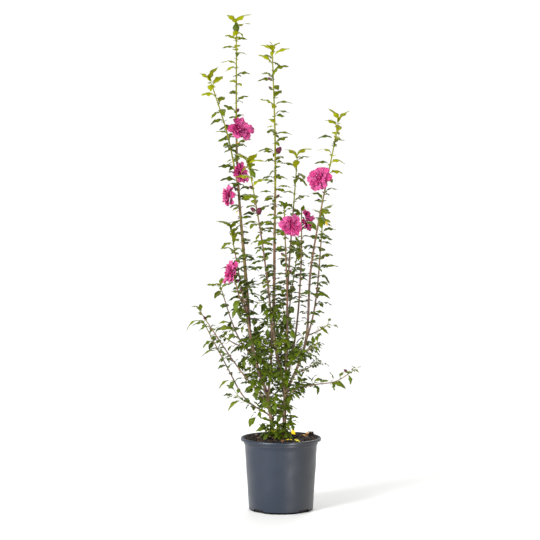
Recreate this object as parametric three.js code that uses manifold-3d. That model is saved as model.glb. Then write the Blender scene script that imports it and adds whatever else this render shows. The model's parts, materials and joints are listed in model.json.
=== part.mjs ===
// A hibiscus shrub in its nursery pot: a moulded pot filled with bark mix, two short trunks, fourteen
// upright canes, the leafy shoot at the end of each cane, and the low sprays of leaves between them.
// Millimetres, +Z up. The origin is the middle of the pot's flat underside, and -Y is the front.
import * as THREE from "three";
import { mergeVertices } from "three/addons/utils/BufferGeometryUtils.js";
import Module from "manifold-3d";

const wasm = await Module();
wasm.setup();

// Driving dimensions of the pot and its fill
const rimDiameter = 270;
const potHeight = 243;
const wallTop = { radius: 121.5, height: 222 };
const wallFoot = { radius: 108, height: 8 };
const wall = 2.4;
const floorThickness = 2.6;
const footRounding = 3.5;
const neckRadius = 123.5;
const lip = { width: 2.6, drop: 10, rounding: 3 };
const drainNotches = { count: 4, width: 42, depth: 18, height: 11 };
const roundSides = 36;
const soilSides = 24;
const soilTop = 234;
const soilEdge = 233;
const soilFlatRadius = 48;
const soilDips = [{ radius: 70, depth: 0 }, { radius: 90, depth: 1 }, { radius: 106, depth: 4 }];
const soilLump = 1.1;
const fitGap = 0.5;

// Driving dimensions of the plant, with angles in degrees
const touchGap = 0.3;
const internode = 30;
const trunkSides = 8;
const boughSides = 6;
const trunkFlare = { reach: 4, fade: 9 };
const trunkCollar = 5;
const twigTipRadius = 2.7;
const slenderTaper = 0.8;
const stoutCane = 3.5;
const sprayRadius = { foot: 2.1, tip: 1.5 };
const leafSize = { length: 58, width: 32, thickness: 1.6, widestAt: 0.45, arch: 0.16 };
const leafAngles = { tipRise: 38, footRise: 12, sprayRise: 22, riseSpread: 12, roll: 26, sprayTurn: 35 };
const leafAges = { shootFoot: 0.94, shootTip: 1.02, spray: 0.88 };
const leafSpread = { least: 0.88, most: 1.12 };
const secondLeaf = { chance: 0.3, until: 0.7, turn: 150, least: 0.55, most: 0.8 };
// The leaves round a tip. A shoot that ends low has small ones.
const tipLeaves = {
  shoot: [
    { turn: 0, rise: 64, size: 1.15 },
    { turn: 165, rise: 66, size: 1 },
    { turn: 265, rise: -10, size: 0.85 },
  ],
  spray: [
    { turn: 0, rise: 34, size: 1 },
    { turn: 150, rise: 34, size: 0.85 },
  ],
};
const lowShoot = { below: 800, size: 0.65 };
const rootSink = 1.2;
const sprayLeafGap = 19;
const sprayLength = { least: 66, most: 92 };
const sprayShape = { middle: 0.5, middleLift: 0.22, tip: 0.92, tipLift: 0.5, droop: 0.12 };
const sprayTurns = 16;
const trunkSprays = { to: 0.92, crowding: 0.6 };
const boughSprays = { from: 0.15, to: 0.8 };
const sprout = { below: 300, size: 0.72 };
const goldenTurn = 137.5;
const spaceMargin = 3;
const limbMargin = 5;
const rimClearance = { above: 4, inside: 8 };

// Each trunk stands on the fill, and its tip is where its last bough goes on.
const trunks = [
  { name: "trunk_left", base: [-29, 12], by: [[-33, 12, 300]], tip: [-45, 12, 380],
    footRadius: 6, tipRadius: 5.6, sprays: 4, sprayFrom: 0.06 },
  { name: "trunk_right", base: [10, -8], by: [[12, -9, 330]], tip: [16, -10, 438],
    footRadius: 6.2, tipRadius: 5.3, sprays: 4, sprayFrom: 0.08 },
];

// Each cane leaves its parent at a height and passes by one or more points on its way to its tip. The bare
// share of its length is a bough, and the rest is a leafy shoot.
const canes = [
  { name: "left_tall", from: "trunk_left", height: 380,
    by: [[-96, 18, 540], [-119, 24, 793], [-146, 30, 1150]],
    tip: [-149, 34, 1604], radius: 5.8, bare: 0.19, sprays: 3 },
  { name: "left_front", from: "left_tall", height: 470, by: [[-112, -22, 640]],
    tip: [-164, -72, 931], radius: 3.0, bare: 0.38, sprays: 1 },
  { name: "left_back", from: "left_tall", height: 500, by: [[-145, 62, 575]],
    tip: [-206, 118, 742], radius: 2.7, bare: 0.42, sprays: 1 },
  { name: "left_side", from: "trunk_left", height: 352, by: [[-140, -38, 477]],
    tip: [-270, -86, 676], radius: 2.7, bare: 0.42, sprays: 1 },
  { name: "left_low", from: "trunk_left", height: 312, by: [[-119, 42, 366], [-191, 66, 489]],
    tip: [-262, 88, 622], radius: 2.6, bare: 0.42, sprays: 1 },
  { name: "middle_front", from: "trunk_left", height: 366, by: [[-31, -58, 600], [-57, -118, 863]],
    tip: [-103, -172, 1140], radius: 4.0, bare: 0.34, sprays: 3 },
  { name: "middle_tall", from: "trunk_right", height: 398,
    by: [[-20, 22, 560], [-22, 46, 821], [-19, 52, 1200]],
    tip: [-29, 62, 1538], radius: 5.4, bare: 0.2, sprays: 2 },
  { name: "centre", from: "trunk_right", height: 438, by: [[21, -72, 640]],
    tip: [9, -186, 1006], radius: 4.0, bare: 0.3, sprays: 2 },
  { name: "back", from: "trunk_right", height: 424, by: [[24, 92, 740]],
    tip: [57, 192, 1176], radius: 3.9, bare: 0.36, sprays: 2 },
  { name: "back_short", from: "back", height: 560, by: [[34, 150, 700]],
    tip: [60, 232, 862], radius: 2.7, bare: 0.35, sprays: 0 },
  { name: "right_inner", from: "trunk_right", height: 409, by: [[52, 52, 600], [69, 98, 830]],
    tip: [71, 128, 1000], radius: 3.6, bare: 0.34, sprays: 1 },
  { name: "right_tall", from: "trunk_right", height: 388, by: [[79, -26, 552], [100, -42, 820]],
    tip: [187, -66, 1284], radius: 4.8, bare: 0.26, sprays: 2 },
  { name: "right_back", from: "right_tall", height: 506, by: [[112, 28, 668]],
    tip: [142, 96, 965], radius: 3.2, bare: 0.36, sprays: 1 },
  { name: "right_low", from: "trunk_right", height: 384, by: [[84, -52, 424], [160, -72, 430]],
    tip: [236, -86, 474], radius: 2.3, bare: 0.25, sprays: 0 },
];

// Side shoots that are fused into the shoot they leave
const forks = [
  { name: "left_outer", on: "left_tall", height: 1070, by: [[-178, 2, 1253]],
    tip: [-230, -22, 1420], radius: 3.1 },
  { name: "left_bloom", on: "left_front", height: 668, by: [[-140, -78, 725]],
    tip: [-153, -96, 778], radius: 2.7 },
];

// Blossom: open blooms, closed ones and buds, each on its stalk and fused to the shoot that carries it
const blooms = [
  { on: "left_tall", height: 1262, reach: [16, -34, 16], facing: [0.2, -0.75, 0.62],
    diameter: 84, stage: "open" },
  { on: "left_tall", height: 1118, reach: [18, -26, 12], facing: [0.75, -0.5, 0.3],
    diameter: 72, stage: "open" },
  { on: "left_tall", height: 1052, reach: [-42, -22, -2], facing: [-0.88, -0.42, 0.15],
    diameter: 72, stage: "open" },
  { on: "left_bloom", height: 776, reach: [-18, -14, 28], facing: [-0.8, -0.45, 0.35],
    diameter: 76, stage: "open" },
  { on: "right_tall", height: 1095, reach: [-28, -28, 16], facing: [-0.4, -0.88, 0.2],
    diameter: 82, stage: "open" },
  { on: "centre", height: 945, reach: [27, -20, 12], facing: [0.3, -0.93, 0.1],
    diameter: 74, stage: "open" },
  { on: "right_inner", height: 955, reach: [27, -20, 12], facing: [0.88, -0.42, 0.1],
    diameter: 70, stage: "open" },
  { on: "middle_tall", height: 1192, reach: [11, -10, 10], facing: [0.5, -0.4, 0.75],
    diameter: 25, stage: "closed" },
  { on: "middle_front", height: 988, reach: [4, -12, 12], facing: [0.2, -0.6, 0.75],
    diameter: 25, stage: "closed" },
  { on: "middle_front", height: 1000, reach: [-13, -4, 6], facing: [-0.8, -0.2, 0.5],
    diameter: 17, stage: "closed" },
];
const stalkRadius = 1.6;
const openShape = { across: 0.44, along: 0.3, lobe: 0.14, clear: 0.5 };
const closedShape = { across: 0.46, along: 0.62, lobe: 0, clear: 0.62 };
const budSize = { length: 13, radius: 4.6, stalk: 9, lean: 0.88 };
const budZone = { from: 0.35, to: 0.9, chance: 0.3 };

const colours = {
  pot: { color: 0x4b5260, roughness: 0.45, metalness: 0 },
  soil: { color: 0x2a1f18, roughness: 0.95, metalness: 0 },
  trunk: { color: 0x8d7866, roughness: 0.85, metalness: 0 },
  bough: { color: 0x8a6f5e, roughness: 0.8, metalness: 0 },
  shoot: { color: 0x5f7d26, roughness: 0.6, metalness: 0 },
  spray: { color: 0x4a7020, roughness: 0.6, metalness: 0 },
};

const up = new THREE.Vector3(0, 0, 1);
const radians = THREE.MathUtils.degToRad;
const mix = THREE.MathUtils.lerp;

// A repeatable number from 0 to 1 for each set of whole numbers
function roll(...keys) {
  let hash = 2166136261;
  for (const key of keys) {
    hash = Math.imul(hash ^ key, 16777619);
    hash ^= hash >>> 13;
    hash = Math.imul(hash, 1540483477);
    hash ^= hash >>> 15;
  }
  return (hash >>> 0) / 4294967296;
}

function solidOf(geometry) {
  geometry.deleteAttribute("normal");
  geometry.deleteAttribute("uv");
  const merged = mergeVertices(geometry, 1e-3);
  const vertProperties = merged.attributes.position.array;
  const triVerts = new Uint32Array(merged.index.array);
  return new wasm.Manifold(new wasm.Mesh({ numProp: 3, vertProperties, triVerts }));
}

function geometryOf(solid) {
  const mesh = solid.getMesh();
  const geometry = new THREE.BufferGeometry();
  geometry.setAttribute("position", new THREE.BufferAttribute(mesh.vertProperties, mesh.numProp));
  geometry.setIndex(new THREE.BufferAttribute(mesh.triVerts, 1));
  geometry.computeVertexNormals();
  return geometry;
}

// Joins solids in pairs, which is quicker than one after another.
function joined(solids) {
  while (solids.length > 1) {
    const pairs = [];
    for (let i = 0; i < solids.length; i += 2) {
      pairs.push(i + 1 < solids.length ? solids[i].add(solids[i + 1]) : solids[i]);
    }
    solids = pairs;
  }
  return solids[0];
}

// The largest body of a solid. Loose scraps are left out, and sealed hollows are filled.
function wholeBody(solid) {
  const bodies = solid.decompose();
  return bodies.reduce((largest, body) => (body.volume() > largest.volume() ? body : largest));
}

// Paths are lists of points, a fixed step apart along a smooth curve.
function pathThrough(points, step) {
  const curve = new THREE.CatmullRomCurve3(points, false, "centripetal");
  const steps = Math.max(2, Math.round(curve.getLength() / step));
  return curve.getSpacedPoints(steps);
}

// The nodes of a stem: two on each of its steps, away from its rings, and one at its tip. The first point
// is its foot.
function nodesOn(stem) {
  const between = (i, share) => stem[i].clone().lerp(stem[i + 1], share);
  const nodes = stem.slice(1).flatMap((_, i) => [between(i, 0.25), between(i, 0.75)]);
  return [stem[0], ...nodes, stem[stem.length - 1]];
}

function nodeShare(path, node) {
  return THREE.MathUtils.clamp((node - 0.5) / (path.length - 2), 0, 1);
}

function tangentAt(path, i) {
  const before = path[Math.max(0, i - 1)];
  const after = path[Math.min(path.length - 1, i + 1)];
  return after.clone().sub(before).normalize();
}

function pathLength(path) {
  return path.slice(1).reduce((sum, point, i) => sum + point.distanceTo(path[i]), 0);
}

// The point on a path at a height, with the direction and the share of the length there
function placeAtHeight(path, height) {
  for (let i = 1; i < path.length; i++) {
    if (path[i].z >= height || i === path.length - 1) {
      const share = THREE.MathUtils.clamp((height - path[i - 1].z) / (path[i].z - path[i - 1].z), 0, 1);
      const point = path[i - 1].clone().lerp(path[i], share);
      const tangent = path[i].clone().sub(path[i - 1]).normalize();
      return { point, tangent, share: (i - 1 + share) / (path.length - 1) };
    }
  }
}

// Two directions across a path at one of its points
function acrossAt(path, i) {
  const along = path[path.length - 1].clone().sub(path[0]);
  const isLevel = Math.abs(along.x) > Math.abs(along.z);
  const reference = isLevel ? new THREE.Vector3(0, 1, 0) : new THREE.Vector3(1, 0, 0);
  const tangent = tangentAt(path, i);
  const side = reference.addScaledVector(tangent, -reference.dot(tangent)).normalize();
  return { tangent, side, depth: side.clone().cross(tangent) };
}

// A tapering limb along a path: a cylinder whose rings are moved onto the path. grow makes it stouter on
// every side.
function limb(path, radiusAt, sides, grow = 0) {
  const steps = path.length - 1;
  const geometry = new THREE.CylinderGeometry(1, 1, 1, sides, steps);
  const position = geometry.attributes.position;
  for (let i = 0; i < position.count; i++) {
    const step = Math.round((position.getY(i) + 0.5) * steps);
    const { tangent, side, depth } = acrossAt(path, step);
    const radius = radiusAt(step / steps) + grow;
    const endShift = step === 0 ? -grow : step === steps ? grow : 0;
    const point = path[step].clone().addScaledVector(tangent, endShift);
    point.addScaledVector(side, position.getX(i) * radius).addScaledVector(depth, position.getZ(i) * radius);
    position.setXYZ(i, point.x, point.y, point.z);
  }
  return solidOf(geometry);
}

function shiftedStart(path, gap) {
  const start = path[0].clone().addScaledVector(tangentAt(path, 0), gap);
  return [start, ...path.slice(1)];
}

// The pot: a turned shell with a rolled lip, and drain notches cut through its foot
function outerRadius(height) {
  const share = (height - wallFoot.height) / (wallTop.height - wallFoot.height);
  return mix(wallFoot.radius, wallTop.radius, share);
}

function makePot() {
  const rim = rimDiameter / 2;
  const lipFoot = potHeight - lip.drop;
  const inner = wallFoot.radius - wall;
  const profile = [
    [0, 0], [wallFoot.radius - footRounding, 0], [wallFoot.radius, wallFoot.height],
    [wallTop.radius, wallTop.height], [neckRadius, wallTop.height + 2.5],
    [neckRadius + 0.5, lipFoot + footRounding], [rim - lip.width, lipFoot + footRounding],
    [rim - lip.width, lipFoot], [rim - 0.6, lipFoot], [rim, lipFoot + lip.rounding],
    [rim - 0.6, potHeight - 2.5], [rim - 4, potHeight], [neckRadius, potHeight - 0.5],
    [neckRadius - wall - 0.4, potHeight - lip.rounding], [wallTop.radius - wall, wallTop.height],
    [inner, wallFoot.height], [inner - 2.5, floorThickness], [0, floorThickness],
  ];
  const points = profile.map(([radius, height]) => new THREE.Vector2(radius, height));
  points.push(points[0].clone());
  let pot = solidOf(new THREE.LatheGeometry(points, roundSides).rotateX(Math.PI / 2));
  for (let i = 0; i < drainNotches.count; i++) {
    const turn = ((i + 0.5) / drainNotches.count) * Math.PI * 2;
    const notch = new THREE.BoxGeometry(drainNotches.depth, drainNotches.width, drainNotches.height * 2);
    notch.translate(wallFoot.radius, 0, 0).rotateZ(turn);
    pot = pot.subtract(solidOf(notch));
  }
  return wholeBody(pot);
}

// The fill: level where the trunks stand, and lumpy towards the pot's wall
function makeSoil() {
  const foot = floorThickness + fitGap;
  const footRadius = wallFoot.radius - wall - 2.5 - fitGap;
  const edgeRadius = outerRadius(soilEdge) - wall - 1.5;
  const dips = soilDips.map(({ radius, depth }) => [radius, soilTop - depth]).reverse();
  const profile = [
    [0, foot], [footRadius, foot], [wallFoot.radius - wall - fitGap, wallFoot.height],
    [edgeRadius, soilEdge], ...dips, [soilFlatRadius, soilTop], [0, soilTop],
  ];
  const points = profile.map(([radius, height]) => new THREE.Vector2(radius, height));
  const geometry = new THREE.LatheGeometry(points, soilSides).rotateX(Math.PI / 2);
  const position = geometry.attributes.position;
  for (let i = 0; i < position.count; i++) {
    const [x, y, z] = [position.getX(i), position.getY(i), position.getZ(i)];
    const reach = Math.hypot(x, y);
    if (z > soilEdge + 0.5 && reach > soilFlatRadius + 1) {
      const lump = Math.sin(x * 0.11 + 1.3) + Math.sin(y * 0.13) + Math.sin((x + y) * 0.21 + 0.7);
      position.setZ(i, z + lump * soilLump);
    }
  }
  return solidOf(geometry);
}

// All limbs, masses and blooms are planned first, so that each leaf can be kept in its own space.
const limbs = new Map();
const axes = [];

function trunkRadius(trunk) {
  const flare = (share) => trunkFlare.reach * Math.exp(-share * trunkFlare.fade);
  return (share) => mix(trunk.footRadius, trunk.tipRadius, share) + flare(share);
}

function routeOf(root, { by, tip }) {
  return [root, ...by.map((p) => new THREE.Vector3(...p)), new THREE.Vector3(...tip)];
}

function planTrunks() {
  for (const trunk of trunks) {
    const base = new THREE.Vector3(...trunk.base, soilTop + touchGap);
    const collar = base.clone().addScaledVector(up, trunkCollar);
    const path = [base, ...pathThrough(routeOf(collar, trunk), internode / 2)];
    const { sprays, sprayFrom } = trunk;
    limbs.set(trunk.name, {
      path, radiusAt: trunkRadius(trunk), sides: trunkSides, sprays, sprayFrom, kind: "trunk",
    });
  }
}

function planCanes() {
  for (const cane of canes) {
    const root = placeAtHeight(limbs.get(cane.from).path, cane.height).point;
    const whole = pathThrough(routeOf(root, cane), internode);
    const bareSteps = Math.max(2, Math.round((whole.length - 1) * cane.bare));
    const share = bareSteps / (whole.length - 1);
    const tipRadius = Math.min(twigTipRadius, cane.radius * slenderTaper);
    const radiusAt = (t) => mix(cane.radius, tipRadius, Math.pow(t, 0.9));
    const path = whole.slice(0, bareSteps + 1);
    limbs.set(cane.name, {
      path, radiusAt: (t) => radiusAt(t * share), sides: boughSides, sprays: cane.sprays, kind: "bough",
    });
    const stem = pathThrough(shiftedStart(whole.slice(bareSteps), touchGap), internode * 2);
    axes.push({
      name: cane.name, mass: "shoot_" + cane.name, stem, path: nodesOn(stem),
      sides: cane.radius > stoutCane ? 4 : 3, radiusAt: (t) => radiusAt(mix(share, 1, t)),
      bough: cane.name, isShoot: true,
    });
  }
}

function planForks() {
  for (const fork of forks) {
    const carrier = axes.find((axis) => axis.name === fork.on);
    const root = placeAtHeight(carrier.path, fork.height).point;
    const stem = pathThrough(routeOf(root, fork), internode * 2);
    axes.push({
      name: fork.name, mass: carrier.mass, stem, path: nodesOn(stem), sides: 3,
      radiusAt: (t) => mix(fork.radius, twigTipRadius, t), bough: carrier.bough, isShoot: true,
    });
  }
}

// Low sprays leave the trunks and the boughs at even steps, and each turns to where it has the most room.
function sprayPoints(root, turn, length) {
  const { middle, middleLift, tip, tipLift } = sprayShape;
  const away = new THREE.Vector3(Math.cos(turn), Math.sin(turn), 0);
  const placed = (out, lift) =>
    root.clone().addScaledVector(away, length * out).addScaledVector(up, length * lift);
  return [root, placed(middle, middleLift), placed(tip, tipLift)];
}

function roomAround(point) {
  const paths = [...limbs.values(), ...axes].map(({ path }) => path);
  return Math.min(...paths.map((path) => distanceToPath(point, path)));
}

function planSprays() {
  let index = 0;
  for (const [name, { path, sprays, sprayFrom, kind }] of limbs) {
    for (let i = 0; i < sprays; i++) {
      const share = kind === "trunk"
        ? mix(sprayFrom, trunkSprays.to, Math.pow(i / (sprays - 1), trunkSprays.crowding))
        : mix(boughSprays.from, boughSprays.to, (i + 0.5) / sprays);
      const step = share * (path.length - 1);
      const below = Math.floor(step);
      const root = path[below].clone().lerp(path[below + 1], step - below);
      const size = root.z < sprout.below ? sprout.size : 1;
      const length = mix(sprayLength.least, sprayLength.most, roll(index, 3, 1)) * size;
      let best = { room: 0 };
      for (let k = 0; k < sprayTurns; k++) {
        const points = sprayPoints(root, ((k + roll(index, 5, 1)) / sprayTurns) * Math.PI * 2, length);
        const room = roomAround(points[2]) + roomAround(points[1]) * 0.5;
        if (room > best.room) best = { room, points };
      }
      const label = "foliage_low_" + String(index + 1).padStart(2, "0");
      const stem = pathThrough(best.points, sprayLeafGap * 2);
      axes.push({
        name: label, mass: label, stem, path: nodesOn(stem), sides: 3,
        radiusAt: (t) => mix(sprayRadius.foot, sprayRadius.tip, t), bough: name, isShoot: false, size,
      });
      index++;
    }
  }
}

function planBlooms() {
  for (const bloom of blooms) {
    const axis = axes.find(({ name }) => name === bloom.on);
    bloom.direction = new THREE.Vector3(...bloom.facing).normalize();
    bloom.root = placeAtHeight(axis.path, bloom.height).point;
    bloom.centre = bloom.root.clone().add(new THREE.Vector3(...bloom.reach));
    bloom.shape = bloom.stage === "open" ? openShape : closedShape;
    bloom.clearRadius = bloom.diameter * bloom.shape.clear;
  }
}

// The space rule: a point belongs to the mass whose stem is nearest, and it stays clear of limbs, of blooms
// and of the pot's rim.
const chord = new THREE.Line3();
const nearest = new THREE.Vector3();

function distanceToPath(point, path) {
  let least = Infinity;
  for (let i = 1; i < path.length; i++) {
    chord.set(path[i - 1], path[i]);
    least = Math.min(least, chord.closestPointToPoint(point, true, nearest).distanceTo(point));
  }
  return least;
}

function distanceToMass(point, mass) {
  const own = axes.filter((axis) => axis.mass === mass);
  return Math.min(...own.map((axis) => distanceToPath(point, axis.path)));
}

function keepsToSpace(points, axis) {
  for (const point of points) {
    const own = distanceToMass(point, axis.mass);
    for (const other of axes) {
      if (other.mass !== axis.mass && distanceToPath(point, other.path) < own + spaceMargin) return false;
    }
    for (const [name, { path, radiusAt }] of limbs) {
      const away = distanceToPath(point, path);
      const room = name === axis.bough ? radiusAt(0.5) + limbMargin : Math.max(own, radiusAt(0) + limbMargin);
      if (away < room) return false;
    }
    for (const bloom of blooms) {
      if (point.distanceTo(bloom.centre) < bloom.clearRadius) return false;
    }
    const isOverRim = Math.hypot(point.x, point.y) > wallTop.radius - rimClearance.inside;
    const floor = isOverRim ? potHeight + rimClearance.above : soilTop + limbMargin;
    if (point.z < floor) return false;
  }
  return true;
}

// A leaf is two three-sided pyramids, foot to foot: its base sinks into the twig, its blade arches over to
// the tip, and a keel runs below.
function leafCorners(root, direction, length, width, sway) {
  const above = up.clone().addScaledVector(direction, -up.dot(direction)).normalize();
  above.applyAxisAngle(direction, sway);
  const left = above.clone().cross(direction);
  const middle = root.clone().addScaledVector(direction, length * leafSize.widestAt);
  middle.addScaledVector(above, length * leafSize.arch);
  return {
    base: root.clone(),
    tip: root.clone().addScaledVector(direction, length),
    left: middle.clone().addScaledVector(left, width / 2),
    right: middle.clone().addScaledVector(left, -width / 2),
    keel: middle.clone().addScaledVector(above, -leafSize.thickness),
  };
}

// A leaf's base is sunk in the middle of the stem's face that looks its way, and tip leaves are staggered
// below the tip.
function leafRoot({ path, radiusAt, sides }, node, k, direction) {
  const { tangent, side, depth } = acrossAt(path, node);
  const inset = node === path.length - 1 ? rootSink * (2 + 4 * k) : 0;
  const turn = Math.atan2(direction.dot(side), direction.dot(depth));
  const face = ((Math.floor((turn / (Math.PI * 2)) * sides) + 0.5) / sides) * Math.PI * 2;
  const outward = side.multiplyScalar(Math.sin(face)).addScaledVector(depth, Math.cos(face));
  const surface = radiusAt(nodeShare(path, node)) * Math.cos(Math.PI / sides);
  return path[node].clone().addScaledVector(outward, surface - rootSink).addScaledVector(tangent, -inset);
}

function leafProbes({ base, tip, left, right }) {
  const between = (a, b, share) => a.clone().lerp(b, share);
  return [tip, left, right, between(left, right, 0.5), between(left, tip, 0.5), between(right, tip, 0.5),
    between(base, left, 0.7), between(base, right, 0.7)];
}

function makeLeaf({ base, tip, left, right, keel }) {
  return spindle(base, tip, [left, keel, right]);
}

// A closed solid from one point to another by way of a ring of points
function spindle(from, to, ring) {
  const geometry = new THREE.BufferGeometry().setFromPoints([from, to, ...ring]);
  const index = ring.flatMap((_, i) => {
    const [a, b] = [2 + i, 2 + ((i + 1) % ring.length)];
    return [0, a, b, 1, b, a];
  });
  geometry.setIndex(index);
  return solidOf(geometry);
}

// The growth rule: every node has a main leaf, and some older nodes have a smaller one beside it. A leaf
// that would leave its space is turned about its stem, then made smaller, and is otherwise left out.
const turnsTried = [0, 40, -40, 80, -80, 125, -125, 180];
const sizesTried = [1, 0.76];

function leavesOf(axis, axisNumber) {
  const found = [];
  const last = axis.path.length - 1;
  const tipAge = axis.path[last].z < lowShoot.below ? lowShoot.size : leafAges.shootTip;
  for (let node = 1; node <= last; node++) {
    const youth = axis.isShoot ? node / last : 0.5 + 0.5 * (node / last);
    const isTip = node === last;
    const round = isTip ? tipLeaves[axis.isShoot ? "shoot" : "spray"] : [];
    const count = isTip ? round.length : axis.isShoot && youth > secondLeaf.until ? 1 : 2;
    const shootAge = isTip ? tipAge : mix(leafAges.shootFoot, leafAges.shootTip, youth);
    const age = axis.isShoot ? shootAge : leafAges.spray * axis.size;
    const shootRise = mix(leafAngles.footRise, leafAngles.tipRise, Math.pow(youth, 2));
    for (let k = 0; k < count; k++) {
      if (!isTip && k === 1 && roll(axisNumber, node, k, 7) > secondLeaf.chance) continue;
      const small = k === 0 ? 1 : mix(secondLeaf.least, secondLeaf.most, roll(axisNumber, node, k, 2));
      const spread = mix(leafSpread.least, leafSpread.most, roll(axisNumber, node, k, 1));
      const rise = isTip ? round[k].rise : axis.isShoot ? shootRise : leafAngles.sprayRise;
      const nod = mix(-leafAngles.riseSpread, leafAngles.riseSpread, roll(axisNumber, node, k, 3));
      const side = isTip
        ? (axisNumber % 2) * 180 + round[k].turn
        : firstTurn(axis, axisNumber, node) + k * secondLeaf.turn;
      const size = (isTip ? round[k].size : small) * age * spread;
      const leaf = fittedLeaf(axis, axisNumber, node, k, side, radians(rise + nod), size);
      if (leaf) found.push(leaf);
    }
  }
  return found;
}

// The turn of a node's main leaf about its stem: a golden turn from node to node on a shoot, side to side
// on a spray
function firstTurn(axis, axisNumber, node) {
  if (axis.isShoot) return (node + axisNumber) * goldenTurn;
  return node * 180 + 90 + mix(-leafAngles.sprayTurn, leafAngles.sprayTurn, roll(axisNumber, node, 5));
}

function fittedLeaf(axis, axisNumber, node, k, side, rise, size) {
  const tangent = tangentAt(axis.path, node);
  const flat = Math.abs(tangent.z) > 0.9 ? new THREE.Vector3(1, 0, 0) : up;
  const sideA = flat.clone().addScaledVector(tangent, -flat.dot(tangent)).normalize();
  const sideB = tangent.clone().cross(sideA);
  for (const scale of sizesTried) {
    for (const turn of turnsTried) {
      const angle = radians(side + turn);
      const outward = sideA.clone().multiplyScalar(Math.cos(angle)).addScaledVector(sideB, Math.sin(angle));
      const direction = outward.multiplyScalar(Math.cos(rise)).addScaledVector(tangent, Math.sin(rise));
      direction.z -= axis.isShoot ? 0 : sprayShape.droop;
      direction.normalize();
      const length = leafSize.length * size * scale;
      const width = leafSize.width * size * scale * mix(0.9, 1.1, roll(axisNumber, node, k, 4));
      const sway = radians(mix(-leafAngles.roll, leafAngles.roll, roll(axisNumber, node, k, 6)));
      const corners = leafCorners(leafRoot(axis, node, k, direction), direction, length, width, sway);
      if (keepsToSpace(leafProbes(corners), axis)) return corners;
    }
  }
  return null;
}

// Open blooms are lobed, flattened balls of petals; closed ones are pointed.
function makeBloom({ root, centre, direction, diameter, stage, shape }) {
  const [around, rings] = stage === "open" ? [10, 4] : [6, 3];
  const ball = new THREE.SphereGeometry(1, around, rings).rotateX(Math.PI / 2);
  const position = ball.attributes.position;
  const turn = new THREE.Quaternion().setFromUnitVectors(up, direction);
  for (let i = 0; i < position.count; i++) {
    const point = new THREE.Vector3(position.getX(i), position.getY(i), position.getZ(i));
    const lobe = 1 + shape.lobe * Math.cos(5 * Math.atan2(point.y, point.x));
    const across = shape.across * diameter * lobe;
    point.multiply(new THREE.Vector3(across, across, shape.along * diameter));
    point.applyQuaternion(turn).add(centre);
    position.setXYZ(i, point.x, point.y, point.z);
  }
  return solidOf(ball).add(limb([root.clone(), centre.clone()], () => stalkRadius, 4));
}

function budsOf(axis, axisNumber) {
  const buds = [];
  const last = axis.path.length - 1;
  for (let node = 1; node < last && axis.isShoot; node++) {
    const share = node / last;
    const isBare = roll(axisNumber, node, 11) > budZone.chance;
    if (share < budZone.from || share > budZone.to || isBare) continue;
    const angle = roll(axisNumber, node, 12) * Math.PI * 2;
    const direction = new THREE.Vector3(Math.cos(angle), Math.sin(angle), budSize.lean).normalize();
    const root = axis.path[node];
    const centre = root.clone().addScaledVector(direction, budSize.stalk + budSize.length / 2);
    const tip = centre.clone().addScaledVector(direction, budSize.length / 2);
    if (!keepsToSpace([centre, tip], axis)) continue;
    const side = up.clone().cross(direction).normalize().multiplyScalar(budSize.radius);
    const corner = (k) => side.clone().applyAxisAngle(direction, (-k * Math.PI) / 2).add(centre);
    buds.push(spindle(root, tip, [0, 1, 2, 3].map(corner)));
  }
  return buds;
}

function makeMass(mass) {
  const parts = [];
  for (const [axisNumber, axis] of axes.entries()) {
    if (axis.mass !== mass) continue;
    parts.push(limb(axis.stem, axis.radiusAt, axis.sides));
    const buds = budsOf(axis, axisNumber);
    const leaves = leavesOf(axis, axisNumber).map(makeLeaf);
    const flowers = blooms.filter((bloom) => bloom.on === axis.name).map(makeBloom);
    parts.push(...buds, ...leaves, ...flowers);
  }
  return joined(parts);
}

planTrunks();
planCanes();
planForks();
planSprays();
planBlooms();

const shrub = new THREE.Group();

// Points that almost meet are drawn together, which can pinch off a scrap, so the body is picked out again.
function addNode(name, solid, { color, roughness, metalness }) {
  const settled = wholeBody(solidOf(geometryOf(wholeBody(solid))));
  const material = new THREE.MeshStandardMaterial({ color, roughness, metalness });
  const mesh = new THREE.Mesh(geometryOf(settled), material);
  mesh.name = name;
  shrub.add(mesh);
}

addNode("pot", makePot(), colours.pot);
addNode("soil", makeSoil(), colours.soil);

// Each limb is cut clear of the ones before it, so that a bough meets its parent across the touch gap.
const clearances = new Map();
for (const [name, { path, radiusAt, sides, kind }] of limbs) {
  let solid = limb(path, radiusAt, sides);
  for (const clearance of clearances.values()) solid = solid.subtract(clearance);
  clearances.set(name, limb(path, radiusAt, sides, touchGap));
  addNode(kind === "trunk" ? name : "bough_" + name, wholeBody(solid), colours[kind]);
}

for (const mass of new Set(axes.map((axis) => axis.mass))) {
  let solid = makeMass(mass);
  for (const clearance of clearances.values()) solid = solid.subtract(clearance);
  addNode(mass, wholeBody(solid), mass.startsWith("shoot") ? colours.shoot : colours.spray);
}

export default shrub;
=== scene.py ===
# Potted hibiscus: the part's growth rule is run again here, finer, and dressed with bark, leaves, petals and
# potting mix. The plant is worked out in millimetres and turned to metres when a piece is made.
# -Y is the front and +Z is up.
import json
import math

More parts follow.
